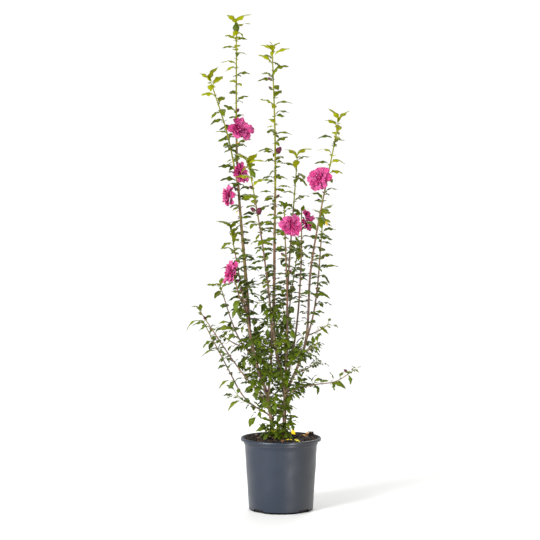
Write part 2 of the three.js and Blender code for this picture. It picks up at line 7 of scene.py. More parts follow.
import bpy
import numpy as np
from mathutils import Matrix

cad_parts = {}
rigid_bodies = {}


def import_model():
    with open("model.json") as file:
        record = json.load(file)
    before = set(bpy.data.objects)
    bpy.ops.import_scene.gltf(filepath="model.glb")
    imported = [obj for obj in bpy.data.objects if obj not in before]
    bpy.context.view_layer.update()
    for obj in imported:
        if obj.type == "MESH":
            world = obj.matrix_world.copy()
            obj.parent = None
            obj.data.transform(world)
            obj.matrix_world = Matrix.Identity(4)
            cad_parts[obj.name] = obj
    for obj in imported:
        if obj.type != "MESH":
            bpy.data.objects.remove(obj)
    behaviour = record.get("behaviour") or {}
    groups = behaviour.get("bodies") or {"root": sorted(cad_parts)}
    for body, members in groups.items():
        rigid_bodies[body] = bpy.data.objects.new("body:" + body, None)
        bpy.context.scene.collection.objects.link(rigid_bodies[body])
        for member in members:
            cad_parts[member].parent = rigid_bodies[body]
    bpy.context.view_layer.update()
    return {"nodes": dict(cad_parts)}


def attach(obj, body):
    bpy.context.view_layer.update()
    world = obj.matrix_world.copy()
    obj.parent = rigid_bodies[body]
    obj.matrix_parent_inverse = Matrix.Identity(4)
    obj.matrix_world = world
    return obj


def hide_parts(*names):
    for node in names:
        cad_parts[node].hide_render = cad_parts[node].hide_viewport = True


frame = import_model()
nodeNames = sorted(frame["nodes"])
print("frame loaded:", len(nodeNames), "nodes")

up = np.array([0.0, 0.0, 1.0])
front = np.array([0.0, -1.0, 0.0])
fullTurn = 2 * math.pi
millimetre = 0.001

growth = {
    "seedShift": 40,          # added to every roll of the extra leaves: another value gives another plant
    "potHeight": 243,
    "wallRadius": 121.5,
    "soilTop": 234,
    "internode": 30,
    "touchGap": 0.3,
    "trunkFoot": (5, 4, 9),   # its straight part, how much it swells, and how fast the swell fades
    "taper": 0.9,
    "slenderTaper": 0.8,
    "twigTipRadius": 2.7,
    "fourSidedFrom": 3.5,     # the shoot of a cane this thick has four sides, and any other has three
    "trunkSprays": (0.92, 0.6),    # where the highest one stands, and how they crowd upwards
    "boughSprays": (0.15, 0.8),
    "sprayLength": (66, 92),
    "sprayRadius": (2.1, 1.5),
    "sprayCourse": ((0.5, 0.22), (0.92, 0.5)),   # how far out and up its middle and its tip lie
    "sprayTurns": 16,
    "sprayLeafGap": 19,
    "sprout": (300, 0.72),    # a spray that starts below this height is this small
    "rootSink": 1.2,
    "leafLength": 58,
    "leafWidth": 32,
    "leafWidestAt": 0.45,
    "leafArch": 0.16,
    "leafRoll": 26,
    "bladeRoll": 0.8,         # the blade rolls a little less than the points that have to stay clear
    "edgeProbe": 0.7,
    "goldenTurn": 137.5,
    "sideSpread": 35,
    "rise": (12, 38),         # of a shoot's leaves at its foot and near its tip, in degrees
    "sprayRise": 22,
    "riseSpread": 12,
    "sprayDip": 0.12,
    "tipLeaves": {            # turn and rise in degrees, and size, of each leaf round a tip
        True: [(0, 64, 1.15), (165, 66, 1.0), (265, -10, 0.85)],
        False: [(0, 34, 1.0), (150, 34, 0.85)],
    },
    "secondLeaf": {"below": 0.7, "chance": 0.3, "turn": 150, "size": (0.55, 0.8)},
    "shootAge": (0.94, 1.02),
    "sprayAge": 0.88,
    "lowShoot": (800, 0.65),  # a shoot that ends below this height has tip leaves this small
    "sizeSpread": (0.88, 1.12),
    "widthSpread": (0.9, 1.1),
    "smallerFits": (1, 0.76),
    "turnedFits": (0, 40, -40, 80, -80, 125, -125, 180),
    "spaceMargin": 3,
    "limbMargin": 5,
    "potMargins": (8, 4, 5),  # inside the wall, over the rim and over the mix
    "bloomRoom": {"open": 0.5, "closed": 0.62},
}


def rows(fields, *table):
    # A dictionary for each row, with the fields as its keys
    return [dict(zip(fields.split(), row)) for row in table]


trunks = rows(
    "name base by tip foot top sprays sprayFrom",
    ("trunk_left", (-29, 12), [(-33, 12, 300)], (-45, 12, 380), 6.0, 5.6, 4, 0.06),
    ("trunk_right", (10, -8), [(12, -9, 330)], (16, -10, 438), 6.2, 5.3, 4, 0.08),
)
canes = rows(
    "name parent height by tip radius bare sprays",
    ("left_tall", "trunk_left", 380, [(-96, 18, 540), (-119, 24, 793), (-146, 30, 1150)],
     (-149, 34, 1604), 5.8, 0.19, 3),
    ("left_front", "left_tall", 470, [(-112, -22, 640)], (-164, -72, 931), 3.0, 0.38, 1),
    ("left_back", "left_tall", 500, [(-145, 62, 575)], (-206, 118, 742), 2.7, 0.42, 1),
    ("left_side", "trunk_left", 352, [(-140, -38, 477)], (-270, -86, 676), 2.7, 0.42, 1),
    ("left_low", "trunk_left", 312, [(-119, 42, 366), (-191, 66, 489)], (-262, 88, 622), 2.6, 0.42, 1),
    ("middle_front", "trunk_left", 366, [(-31, -58, 600), (-57, -118, 863)],
     (-103, -172, 1140), 4.0, 0.34, 3),
    ("middle_tall", "trunk_right", 398, [(-20, 22, 560), (-22, 46, 821), (-19, 52, 1200)],
     (-29, 62, 1538), 5.4, 0.2, 2),
    ("centre", "trunk_right", 438, [(21, -72, 640)], (9, -186, 1006), 4.0, 0.3, 2),
    ("back", "trunk_right", 424, [(24, 92, 740)], (57, 192, 1176), 3.9, 0.36, 2),
    ("back_short", "back", 560, [(34, 150, 700)], (60, 232, 862), 2.7, 0.35, 0),
    ("right_inner", "trunk_right", 409, [(52, 52, 600), (69, 98, 830)], (71, 128, 1000), 3.6, 0.34, 1),
    ("right_tall", "trunk_right", 388, [(79, -26, 552), (100, -42, 820)], (187, -66, 1284), 4.8, 0.26, 2),
    ("right_back", "right_tall", 506, [(112, 28, 668)], (142, 96, 965), 3.2, 0.36, 1),
    ("right_low", "trunk_right", 384, [(84, -52, 424), (160, -72, 430)], (236, -86, 474), 2.3, 0.25, 0),
)
forks = rows(
    "name on height by tip radius",
    ("left_outer", "left_tall", 1070, [(-178, 2, 1253)], (-230, -22, 1420), 3.1),
    ("left_bloom", "left_front", 668, [(-140, -78, 725)], (-153, -96, 778), 2.7),
)
blooms = rows(
    "on height reach facing diameter stage",
    ("left_tall", 1262, (16, -34, 16), (0.2, -0.75, 0.62), 84, "open"),
    ("left_tall", 1118, (18, -26, 12), (0.75, -0.5, 0.3), 72, "open"),
    ("left_tall", 1052, (-42, -22, -2), (-0.88, -0.42, 0.15), 72, "open"),
    ("left_bloom", 776, (-18, -14, 28), (-0.8, -0.45, 0.35), 76, "open"),
    ("right_tall", 1095, (-28, -28, 16), (-0.4, -0.88, 0.2), 82, "open"),
    ("centre", 945, (27, -20, 12), (0.3, -0.93, 0.1), 74, "open"),
    ("right_inner", 955, (27, -20, 12), (0.88, -0.42, 0.1), 70, "open"),
    ("middle_tall", 1192, (11, -10, 10), (0.5, -0.4, 0.75), 25, "closed"),
    ("middle_front", 988, (4, -12, 12), (0.2, -0.6, 0.75), 25, "closed"),
    ("middle_front", 1000, (-13, -4, 6), (-0.8, -0.2, 0.5), 17, "closed"),
)


def roll(*keys):
    # The same repeatable number from 0 to 1 that the part uses
    value = 2166136261
    for key in keys:
        value = ((value ^ key) * 16777619) & 0xFFFFFFFF
        value ^= value >> 13
        value = (value * 1540483477) & 0xFFFFFFFF
        value ^= value >> 15
    return value / 4294967296


def mix(low, high, share):
    return low + (high - low) * share


def swing(reach, *keys):
    # A repeatable number between minus and plus the reach
    return mix(-reach, reach, roll(*keys))


def unit(vector):
    return vector / np.linalg.norm(vector)


def squareTo(direction, vector):
    # The part of a vector that lies square to a direction, made one long
    return unit(vector - direction * np.dot(vector, direction))


def wayAt(turn, rise=0.0):
    return np.array([math.cos(turn), math.sin(turn), rise])


def swung(sideA, sideB, turn):
    # From one side towards the other
    return sideA * math.cos(turn) + sideB * math.sin(turn)


def turned(vectors, axis, angle):
    # Rodrigues' rotation about a unit axis
    level = axis * (vectors @ axis)[..., None] * (1 - math.cos(angle))
    return vectors * math.cos(angle) + np.cross(axis, vectors) * math.sin(angle) + level


def around(count):
    return np.linspace(0, fullTurn, count, endpoint=False)


def waves(table, x, y):
    # A sine for each row: how quick it is along x and along y, and its phase
    return [np.sin(x * quickX + y * quickY + phase) for quickX, quickY, phase in table]


def curvePoint(points, share):
    # A centripetal Catmull-Rom curve, which is what the part's limbs follow
    last = len(points) - 1
    i = min(int(share * last), last - 1)
    t = share * last - i
    a, b = points[i], points[i + 1]
    before = points[i - 1] if i > 0 else 2 * points[0] - points[1]
    after = points[i + 2] if i + 2 <= last else 2 * points[last] - points[last - 1]
    d0, d1, d2 = (np.dot(q - p, q - p) ** 0.25 for p, q in ((before, a), (a, b), (b, after)))
    pullA = ((a - before) / d0 - (b - before) / (d0 + d1) + (b - a) / d1) * d1
    pullB = ((b - a) / d1 - (after - a) / (d1 + d2) + (after - b) / d2) * d1
    square = 3 * (b - a) - 2 * pullA - pullB
    cube = 2 * (a - b) + pullA + pullB
    return a + pullA * t + square * t ** 2 + cube * t ** 3


def pathThrough(points, step):
    # Points at even steps along the curve through some points
    points = [np.array(point, float) for point in points]
    shares = np.linspace(0, 1, 201)
    samples = np.array([curvePoint(points, share) for share in shares])
    lengths = np.concatenate([[0], np.cumsum(np.linalg.norm(np.diff(samples, axis=0), axis=1))])
    steps = max(2, math.floor(lengths[-1] / step + 0.5))
    places = np.interp(np.linspace(0, lengths[-1], steps + 1), lengths, shares)
    return np.array([curvePoint(points, place) for place in places])


def nodesOn(stem):
    # Two nodes on each step of a stem, and one at its tip
    nodes = [mix(stem[i], stem[i + 1], share) for i in range(len(stem) - 1) for share in (0.25, 0.75)]
    return np.array([stem[0], *nodes, stem[-1]])


def placeAtHeight(path, height):
    for i in range(1, len(path)):
        if path[i][2] >= height or i == len(path) - 1:
            share = min(1, max(0, (height - path[i - 1][2]) / (path[i][2] - path[i - 1][2])))
            return mix(path[i - 1], path[i], share)


def tangentAt(path, i):
    return unit(path[min(len(path) - 1, i + 1)] - path[max(0, i - 1)])


def acrossAt(path, i):
    # The tangent of a path and two directions across it that don't spin along the path
    along = path[-1] - path[0]
    reference = np.array([0.0, 1.0, 0.0]) if abs(along[0]) > abs(along[2]) else np.array([1.0, 0.0, 0.0])
    tangent = tangentAt(path, i)
    side = squareTo(tangent, reference)
    return tangent, side, np.cross(side, tangent)


def sidesOf(tangent):
    side = squareTo(tangent, np.array([1.0, 0.0, 0.0]) if abs(tangent[2]) > 0.9 else up)
    return side, np.cross(tangent, side)


def piecesOf(paths):
    # Where every straight piece of some paths starts and ends
    return np.concatenate([path[:-1] for path in paths]), np.concatenate([path[1:] for path in paths])


def closestOn(points, starts, ends):
    # The place nearest to each point on each straight piece
    along = ends - starts
    share = np.einsum("psk,sk->ps", points[:, None] - starts, along) / np.einsum("sk,sk->s", along, along)
    return starts + np.clip(share, 0, 1)[..., None] * along


def distances(points, starts, ends):
    return np.linalg.norm(points[:, None] - closestOn(points, starts, ends), axis=2)


limbs, axes = {}, []


def addAxis(name, mass, bough, points, step, sides, radiusAt, size=None):
    # A stem that carries leaves; only a low spray has a size of its own
    stem = pathThrough(points, step)
    axes.append(dict(name=name, mass=mass, bough=bough, stem=stem, path=nodesOn(stem), sides=sides,
                     radiusAt=radiusAt, isShoot=size is None, size=size or 1))


def numberOf(name):
    return [axis["name"] for axis in axes].index(name)


def planTrunks():
    straight, swell, fade = growth["trunkFoot"]
    for trunk in trunks:
        base = np.array([*trunk["base"], growth["soilTop"] + growth["touchGap"]], float)
        path = pathThrough([base + up * straight, *trunk["by"], trunk["tip"]], growth["internode"] / 2)
        limbs[trunk["name"]] = dict(
            path=np.array([base, *path]), isTrunk=True, sprays=trunk["sprays"], sprayFrom=trunk["sprayFrom"],
            radiusAt=lambda share, t=trunk: mix(t["foot"], t["top"], share) + swell * np.exp(-share * fade))


def planCanes():
    # The bare foot of a cane is a bough, and the rest of it is a shoot
    for cane in canes:
        root = placeAtHeight(limbs[cane["parent"]]["path"], cane["height"])
        whole = pathThrough([root, *cane["by"], cane["tip"]], growth["internode"])
        bareSteps = max(2, math.floor((len(whole) - 1) * cane["bare"] + 0.5))
        bare = bareSteps / (len(whole) - 1)
        tipRadius = min(growth["twigTipRadius"], cane["radius"] * growth["slenderTaper"])
        taper = lambda share, c=cane, tip=tipRadius: mix(c["radius"], tip, share ** growth["taper"])
        limbs[cane["name"]] = dict(path=whole[:bareSteps + 1], isTrunk=False, sprays=cane["sprays"],
                                   radiusAt=lambda share, f=taper, b=bare: f(share * b))
        shoot = whole[bareSteps:].copy()
        shoot[0] += tangentAt(shoot, 0) * growth["touchGap"]
        addAxis(cane["name"], "shoot_" + cane["name"], cane["name"], shoot, growth["internode"] * 2,
                4 if cane["radius"] > growth["fourSidedFrom"] else 3,
                lambda share, f=taper, b=bare: f(mix(b, 1, share)))
    for fork in forks:
        carrier = axes[numberOf(fork["on"])]
        points = [placeAtHeight(carrier["path"], fork["height"]), *fork["by"], fork["tip"]]
        addAxis(fork["name"], carrier["mass"], carrier["bough"], points, growth["internode"] * 2, 3,
                lambda share, f=fork: mix(f["radius"], growth["twigTipRadius"], share))


def planSprays():
    # Low sprays on trunks and boughs, each turned to the side with the most room
    places = [(name, limb, i) for name, limb in limbs.items() for i in range(limb["sprays"])]
    for index, (name, limb, i) in enumerate(places):
        path = limb["path"]
        if limb["isTrunk"]:
            highest, crowding = growth["trunkSprays"]
            share = mix(limb["sprayFrom"], highest, (i / (limb["sprays"] - 1)) ** crowding)
        else:
            share = mix(*growth["boughSprays"], (i + 0.5) / limb["sprays"])
        below = math.floor(share * (len(path) - 1))
        root = mix(path[below], path[below + 1], share * (len(path) - 1) - below)
        size = growth["sprout"][1] if root[2] < growth["sprout"][0] else 1.0
        length = mix(*growth["sprayLength"], roll(index, 3, 1)) * size
        others = piecesOf([thing["path"] for thing in [*limbs.values(), *axes]])
        best, bestRoom = None, 0
        for k in range(growth["sprayTurns"]):
            away = wayAt((k + roll(index, 5, 1)) / growth["sprayTurns"] * fullTurn)
            course = [(away * out + up * lift) * length for out, lift in growth["sprayCourse"]]
            middle, tip = root + course[0], root + course[1]
            nearTip, nearMiddle = distances(np.array([tip, middle]), *others).min(axis=1)
            if nearTip + nearMiddle / 2 > bestRoom:
                best, bestRoom = [root, middle, tip], nearTip + nearMiddle / 2
        label = "foliage_low_%02d" % (index + 1)
        addAxis(label, label, name, best, growth["sprayLeafGap"] * 2, 3,
                lambda share: mix(*growth["sprayRadius"], share), size)


def planBlooms():
    for bloom in blooms:
        bloom["direction"] = unit(np.array(bloom["facing"], float))
        bloom["root"] = placeAtHeight(axes[numberOf(bloom["on"])]["path"], bloom["height"])
        bloom["centre"] = bloom["root"] + np.array(bloom["reach"], float)
        bloom["clearRadius"] = bloom["diameter"] * growth["bloomRoom"][bloom["stage"]]


planTrunks()
planCanes()
planSprays()
planBlooms()
print("plan:", len(limbs), "limbs,", len(axes), "stems,", len(blooms), "blooms")

# The straight pieces of all stems and limbs, with the mass that each stem belongs to, for the space rule
massNames = sorted({axis["mass"] for axis in axes})
stemPaths = [axis["path"] for axis in axes]
limbPaths = [limb["path"] for limb in limbs.values()]
stemMass = np.repeat([massNames.index(axis["mass"]) for axis in axes], [len(path) - 1 for path in stemPaths])
limbFirst = np.cumsum([0] + [len(path) - 1 for path in limbPaths])[:-1]
stemPieces, limbPieces, woodPieces = piecesOf(stemPaths), piecesOf(limbPaths), piecesOf(stemPaths + limbPaths)
bloomCentres = np.array([bloom["centre"] for bloom in blooms])
bloomRadii = np.array([bloom["clearRadius"] for bloom in blooms])


def meetsBloomOrPot(points, potMargins):
    inWall, overRim, overMix = potMargins
    isOut = np.hypot(points[:, 0], points[:, 1]) > growth["wallRadius"] - inWall
    lowest = np.where(isOut, growth["potHeight"] + overRim, growth["soilTop"] + overMix)
    inBloom = np.linalg.norm(points[:, None] - bloomCentres[None], axis=2) < bloomRadii
    return inBloom.any() or (points[:, 2] < lowest).any()


def keepsToSpace(points, axis):
    # The part's rule: nearer to its own mass than to any other, and clear of limbs, blooms and pot
    toStems = distances(points, *stemPieces)
    isOwn = stemMass == massNames.index(axis["mass"])
    own = toStems[:, isOwn].min(axis=1)
    if (toStems[:, ~isOwn].min(axis=1) < own + growth["spaceMargin"]).any():
        return False
    toLimbs = np.minimum.reduceat(distances(points, *limbPieces), limbFirst, axis=1)
    for i, (name, limb) in enumerate(limbs.items()):
        if name == axis["bough"]:
            room = limb["radiusAt"](0.5) + growth["limbMargin"]
        else:
            room = np.maximum(own, limb["radiusAt"](0) + growth["limbMargin"])
        if (toLimbs[:, i] < room).any():
            return False
    return not meetsBloomOrPot(points, growth["potMargins"])


def newLeaf(root, along, length, width, sway, **more):
    # A leaf swayed about the line from root to tip, with the points that have to stay clear
    above = squareTo(along, up)
    steep = turned(above, along, sway)
    left = np.cross(steep, along)
    tip = root + along * length
    middle = root + along * length * growth["leafWidestAt"] + steep * length * growth["leafArch"]
    a, b = middle + left * width / 2, middle - left * width / 2
    edges = [mix(root, side, growth["edgeProbe"]) for side in (a, b)]
    probes = np.array([tip, a, b, middle, (a + tip) / 2, (b + tip) / 2, *edges])
    above = turned(above, along, sway * growth["bladeRoll"])
    return dict(more, root=root, along=along, above=above, length=length, width=width, probes=probes)


def leafRoot(axis, node, k, direction):
    # Where a leaf leaves the flat face of the part's stem that it points from
    path, sides = axis["path"], axis["sides"]
    tangent, side, depth = acrossAt(path, node)
    inset = growth["rootSink"] * (2 + 4 * k) if node == len(path) - 1 else 0
    turn = math.atan2(np.dot(direction, side), np.dot(direction, depth))
    face = (math.floor(turn / fullTurn * sides) + 0.5) / sides * fullTurn
    share = min(1, max(0, (node - 0.5) / (len(path) - 2)))
    surface = axis["radiusAt"](share) * math.cos(math.pi / sides)
    return path[node] + swung(depth, side, face) * (surface - growth["rootSink"]) - tangent * inset


def fittedLeaf(number, node, k, sideTurn, rise, size):
    # The first leaf that keeps to its space, full size before smaller, or None
    axis = axes[number]
    tangent = tangentAt(axis["path"], node)
    sides = sidesOf(tangent)
    breadth = mix(*growth["widthSpread"], roll(number, node, k, 4))
    sway = math.radians(swing(growth["leafRoll"], number, node, k, 6))
    for scale in growth["smallerFits"]:
        for turn in growth["turnedFits"]:
            outward = swung(*sides, math.radians(sideTurn + turn))
            along = outward * math.cos(rise) + tangent * math.sin(rise)
            along[2] -= 0 if axis["isShoot"] else growth["sprayDip"]
            along = unit(along)
            leaf = newLeaf(leafRoot(axis, node, k, along), along, growth["leafLength"] * size * scale,
                           growth["leafWidth"] * size * scale * breadth, sway)
            if keepsToSpace(leaf["probes"], axis):
                return leaf
    return None


def leavesOf(number):
    # The part's leaves: every node has a main leaf, and some have a second one
    path, isShoot = axes[number]["path"], axes[number]["isShoot"]
    last = len(path) - 1
    tips, second = growth["tipLeaves"][isShoot], growth["secondLeaf"]
    found = []
    for node in range(1, last + 1):
        youth = node / last
        isTip = node == last
        count = len(tips) if isTip else 1 if isShoot and youth > second["below"] else 2
        for k in range(count):
            if isTip:
                turn, rise, small = tips[k]
                turn += number % 2 * 180
            elif k == 1 and roll(number, node, k, 7) > second["chance"]:
                continue
            else:
                turn = (node + number) * growth["goldenTurn"]
                if not isShoot:      # side to side along a spray
                    turn = node * 180 + 90 + swing(growth["sideSpread"], number, node, 5)
                turn += k * second["turn"]
                rise = mix(*growth["rise"], youth ** 2) if isShoot else growth["sprayRise"]
                small = 1 if k == 0 else mix(*second["size"], roll(number, node, k, 2))
            age = mix(*growth["shootAge"], youth) if isShoot else growth["sprayAge"] * axes[number]["size"]
            if isShoot and isTip and path[last][2] < growth["lowShoot"][0]:
                age = growth["lowShoot"][1]
            size = small * age * mix(*growth["sizeSpread"], roll(number, node, k, 1))
            rise = math.radians(rise + swing(growth["riseSpread"], number, node, k, 3))
            leaf = fittedLeaf(number, node, k, turn, rise, size)
            if leaf:
                found.append(dict(leaf, youth=youth, node=node, axis=number))
    return found


# The finer growth: small leaves round each node, and twiglets of three leaves where the part has one
# broad leaf. Where a size is named for some shoots or sprays, the rest have 1.
extras = {
    "shootCount": ((0, 0.55, 0.8), (2.0, 1.6, 0.45)),   # at the foot, in the middle and near the tip
    "lowShootCount": 0.5,
    "sprayCount": 4.7,
    "sproutCount": 6,         # round the short sprays at the feet of the trunks
    "fullness": {
        "middle_front": 1.7, "left_front": 1.8, "left_tall": 1.15, "centre": 0.5, "back": 0.6,
        "right_inner": 0.4, "right_tall": 0.75, "right_back": 0.6, "left_side": 0.3, "left_low": 0.3,
        "foliage_low_06": 0.4, "foliage_low_12": 0.1, "foliage_low_13": 0.1, "foliage_low_14": 0.5,
        "foliage_low_15": 0.15, "foliage_low_25": 0.4, "foliage_low_26": 0.3, "foliage_low_27": 0.15,
        "foliage_low_28": 0.1,
    },
    "openBelow": 0.3,         # a spray less full than this has one leaf on each twiglet
    "smallTips": {"right_low": 0.6, "centre": 0.78, "right_inner": 0.62, "left_side": 0.72, "left_low": 0.72,
                  "left_back": 0.85, "foliage_low_28": 0.6, "foliage_low_27": 0.75, "foliage_low_26": 0.8},
    "tuftedTips": {"middle_tall": 0.6, "centre": 0.75, "right_inner": 0.7},   # their last leaves
    "size": (0.42, 0.92),
    "spraySize": 0.84,
    "growing": ((0.3, 0.8), (0.92, 1.1)),   # the small leaves get larger up a shoot
    "level": 0.5,             # how far the leaves of a spray keep their slope
    "sprayYouth": 0.4,
    "rise": (-8, 26),
    "turn": (97, 70),         # from one leaf of a node to the next, and how far it strays
    "sway": 45,
    "nodeSpread": 7,
    "tuft": {"count": 3, "size": (0.14, 0.3), "rise": 34, "spread": 2},   # above each leaf of a shoot
    "twigletBelow": 0.1,      # share of a shoot that carries twiglets
    "twiglet": [(0.34, 0, 0.7), (0.1, 58, 0.56), (0.2, -55, 0.6)],   # place along it, turn, leaf size
    "twigletBreadth": 1.15,
    "potMargins": (13.5, 3, 3),
}


def fineLeavesOf(leaf):
    # A main leaf of a spray or of a shoot's foot gives way to a twiglet with three leaves in the same reach
    axis = axes[leaf["axis"]]
    small = extras["smallTips"].get(axis["name"], 1)
    if leaf["youth"] == 1:
        small *= extras["tuftedTips"].get(axis["name"], 1)
    length, width = leaf["length"] * small, leaf["width"] * small
    if axis["isShoot"] and leaf["youth"] > extras["twigletBelow"]:
        return [dict(leaf, length=length, width=width)], None
    fan = []
    isOpen = extras["fullness"].get(axis["name"], 1) < extras["openBelow"]
    for place, turn, size in extras["twiglet"][:1 if isOpen else None]:
        along = unit(turned(leaf["along"], leaf["above"], math.radians(turn)) * (1, 1, extras["level"]))
        fan.append(dict(leaf, root=leaf["root"] + leaf["along"] * length * place, along=along, youth=0,
                        length=length * size, width=width * size * extras["twigletBreadth"]))
    return fan, (leaf["root"], fan[0]["root"])


def extraLeavesOf(number):
    # Small leaves round each node, and three upright leaflets in the angle of a shoot's leaf
    axis, tuft = axes[number], extras["tuft"]
    path, name, isShoot = axis["path"], axis["name"], axis["isShoot"]
    last = len(path) - 1
    seed = growth["seedShift"]
    found = []
    for node in range(1, last + 1):
        youth = node / last if isShoot else extras["sprayYouth"] * node / last
        if not isShoot:
            count = extras["sproutCount" if axis["size"] < 1 else "sprayCount"]
        elif path[last][2] < growth["lowShoot"][0]:
            count = extras["lowShootCount"]
        else:
            count = np.interp(youth, *extras["shootCount"])
        count = int(count * extras["fullness"].get(name, 1) + roll(number, node, seed))
        tangent = tangentAt(path, node)
        sides = sidesOf(tangent)
        for k in range(count + tuft["count"] * isShoot):
            isTuft = k >= count
            step, stray = extras["turn"]
            turn = node * growth["goldenTurn"] + k * step + stray * roll(number, node, k, seed + 1)
            rise = math.radians(mix(*extras["rise"], roll(number, node, k, seed + 2)) + tuft["rise"] * isTuft)
            along = swung(*sides, math.radians(turn)) * math.cos(rise) + tangent * math.sin(rise)
            if not isShoot:
                along = unit(along * (1, 1, extras["level"]))
            size = mix(*(tuft if isTuft else extras)["size"], roll(number, node, k, seed + 3)) * axis["size"]
            size *= np.interp(youth, *extras["growing"]) if isShoot else extras["spraySize"]
            size *= extras["smallTips"].get(name, 1)
            slide = swing(1, number, node, k, seed + 4) * (tuft["spread"] if isTuft else extras["nodeSpread"])
            root = path[node] + tangent * (slide if node < last else -abs(slide))
            sway = math.radians(swing(extras["sway"], number, node, k, seed + 5))
            leaf = newLeaf(root, along, growth["leafLength"] * size, growth["leafWidth"] * size, sway,
                           youth=youth, node=node, axis=number)
            if not meetsBloomOrPot(leaf["probes"], extras["potMargins"]):
                found.append(leaf)
    return found


mainLeaves, twiglets = [], []
for number in range(len(axes)):
    for leaf in leavesOf(number):
        fan, twiglet = fineLeavesOf(leaf)
        mainLeaves.extend(fan)
        if twiglet:
            twiglets.append(twiglet)
smallLeaves = [leaf for number in range(len(axes)) for leaf in extraLeavesOf(number)]
print("leaves:", len(mainLeaves), "main and", len(smallLeaves), "small")


def linearColour(hexColour):
    channels = [int(hexColour[i:i + 2], 16) / 255 for i in (1, 3, 5)]
    return [c / 12.92 if c <= 0.04045 else ((c + 0.055) / 1.055) ** 2.4 for c in channels] + [1.0]


def setInputs(tree, node, inputs):
    # An input is a value, or the socket that feeds it
    for name, value in inputs.items():
        if isinstance(value, bpy.types.NodeSocket):
            tree.links.new(value, node.inputs[name])
        else:
            node.inputs[name].default_value = value


def addNode(tree, kind, output, inputs, **settings):
    # One node with its settings and links; gives the output that is used
    node = tree.nodes.new("ShaderNode" + kind)
    for name, value in settings.items():
        setattr(node, name, value)
    setInputs(tree, node, inputs)
    return node.outputs[output]


def newMaterial(name, colour, roughness, ior, more=None):
    material = bpy.data.materials.new(name)
    material.use_nodes = True
    inputs = {"Base Color": linearColour(colour), "Roughness": roughness, "IOR": ior, **(more or {})}
    setInputs(material.node_tree, material.node_tree.nodes["Principled BSDF"], inputs)
    return material


def tintMaterials(look):
    # One material for each tint, alike in all but colour
    return {tint: newMaterial(tint, colour, look["roughness"], look["ior"], look.get("more"))
            for tint, colour in look["tints"].items()}


def treeOf(material):
    # Its nodes, its shader, and the socket that gives each point's place
    tree = material.node_tree
    return tree, tree.nodes["Principled BSDF"], addNode(tree, "TexCoord", "Object", {})


leafLook = {
    "roughness": 0.5,
    "ior": 1.4,
    "more": {"Specular IOR Level": 0.17},
    "tints": {"leafTip": "#808402", "leafYoung": "#5C6601", "leafMid": "#586206", "leafFull": "#4B5A0C",
              "leafDeep": "#3D4B0C", "leafYellow": "#D9B21F"},
    "shaded": ((750, 1120), (0.36, 0)),   # a shoot that ends low keeps its leaves darker: tip height, share
    "darkShoots": {"centre": 0.5, "right_inner": 0.4},
    "uneven": (-0.32, 0.26),
    "tipFrom": 0.95,          # the tints of the leaves beyond this share of a shoot aren't uneven
    "shootTints": ((0.9, "leafTip"), (0.78, "leafYoung"), (0.5, "leafMid"), (0.2, "leafFull"),
                   (-9, "leafDeep")),
    "sprayTints": ((0.48, "leafDeep"), (0.95, "leafFull"), (1, "leafMid")),
}
# Living leaf: a waxed, softly glossy skin over dense green pulp
leafMaterials = tintMaterials(leafLook)

petalLook = {
    "roughness": 0.62,
    "ior": 1.38,
    "more": {"Subsurface Weight": 0.35, "Subsurface Radius": (1, 0.25, 0.5), "Subsurface Scale": 0.004},
    "tints": {"petalPale": "#B54980", "petalPink": "#B03070", "petalDeep": "#A82262", "petalHeart": "#9C1C58",
              "petalSpent": "#4C0A27", "budGreen": "#56631C", "budFlush": "#451A2C"},
}
# Fresh petal: thin, velvety and lit through, so it is matt and its colour stays full at every angle
petalMaterials = tintMaterials(petalLook)

twigLook = {
    "roughness": 0.6,
    "ior": 1.45,
    "more": {"Specular IOR Level": 0.25},
    "tints": {"twigGrey": "#5B493D", "twigBrown": "#6A4E3C", "twigTan": "#6D5A36", "twigGreen": "#6F7002"},
    # where grey turns to brown, to tan and to green, as shares of a stem's length from its foot
    "ripening": {
        True: (0.14, 0.42, 0.6), False: (0.15, 0.5, 0.7), "low": (0.4, 0.7, 0.95),
        "middle_tall": (0.05, 0.3, 0.48), "left_tall": (0.02, 0.12, 0.64), "left_outer": (0.0, 0.04, 0.16),
        "left_front": (0.1, 0.3, 0.8), "middle_front": (0.2, 0.6, 0.8), "right_tall": (0.25, 0.45, 0.76),
        "centre": (0.2, 0.6, 0.8), "back": (0.2, 0.5, 0.66), "right_inner": (0.2, 0.6, 0.85),
        "right_back": (0.2, 0.5, 0.8),
    },
}
# Young rind: smooth and barely shining, green while it grows and brown as it turns to bark
twigMaterials = tintMaterials(twigLook)

barkLook = {
    "ridge": "#8D7864", "crack": "#4B3B2B", "flush": "#8A684A",
    "roughness": 0.8,
    "ior": 1.5,
    "grainMm": 5,
    "stretch": (1, 1, 0.22),      # the grain is about five times as long along the stem
    "cracks": (0.38, 0.6),
    "speckMm": 4.8,               # coarser than real ones, so that they show
    "patchMm": 45.45,
    "bump": (0.6, 0.8),           # strength, and depth in mm
}


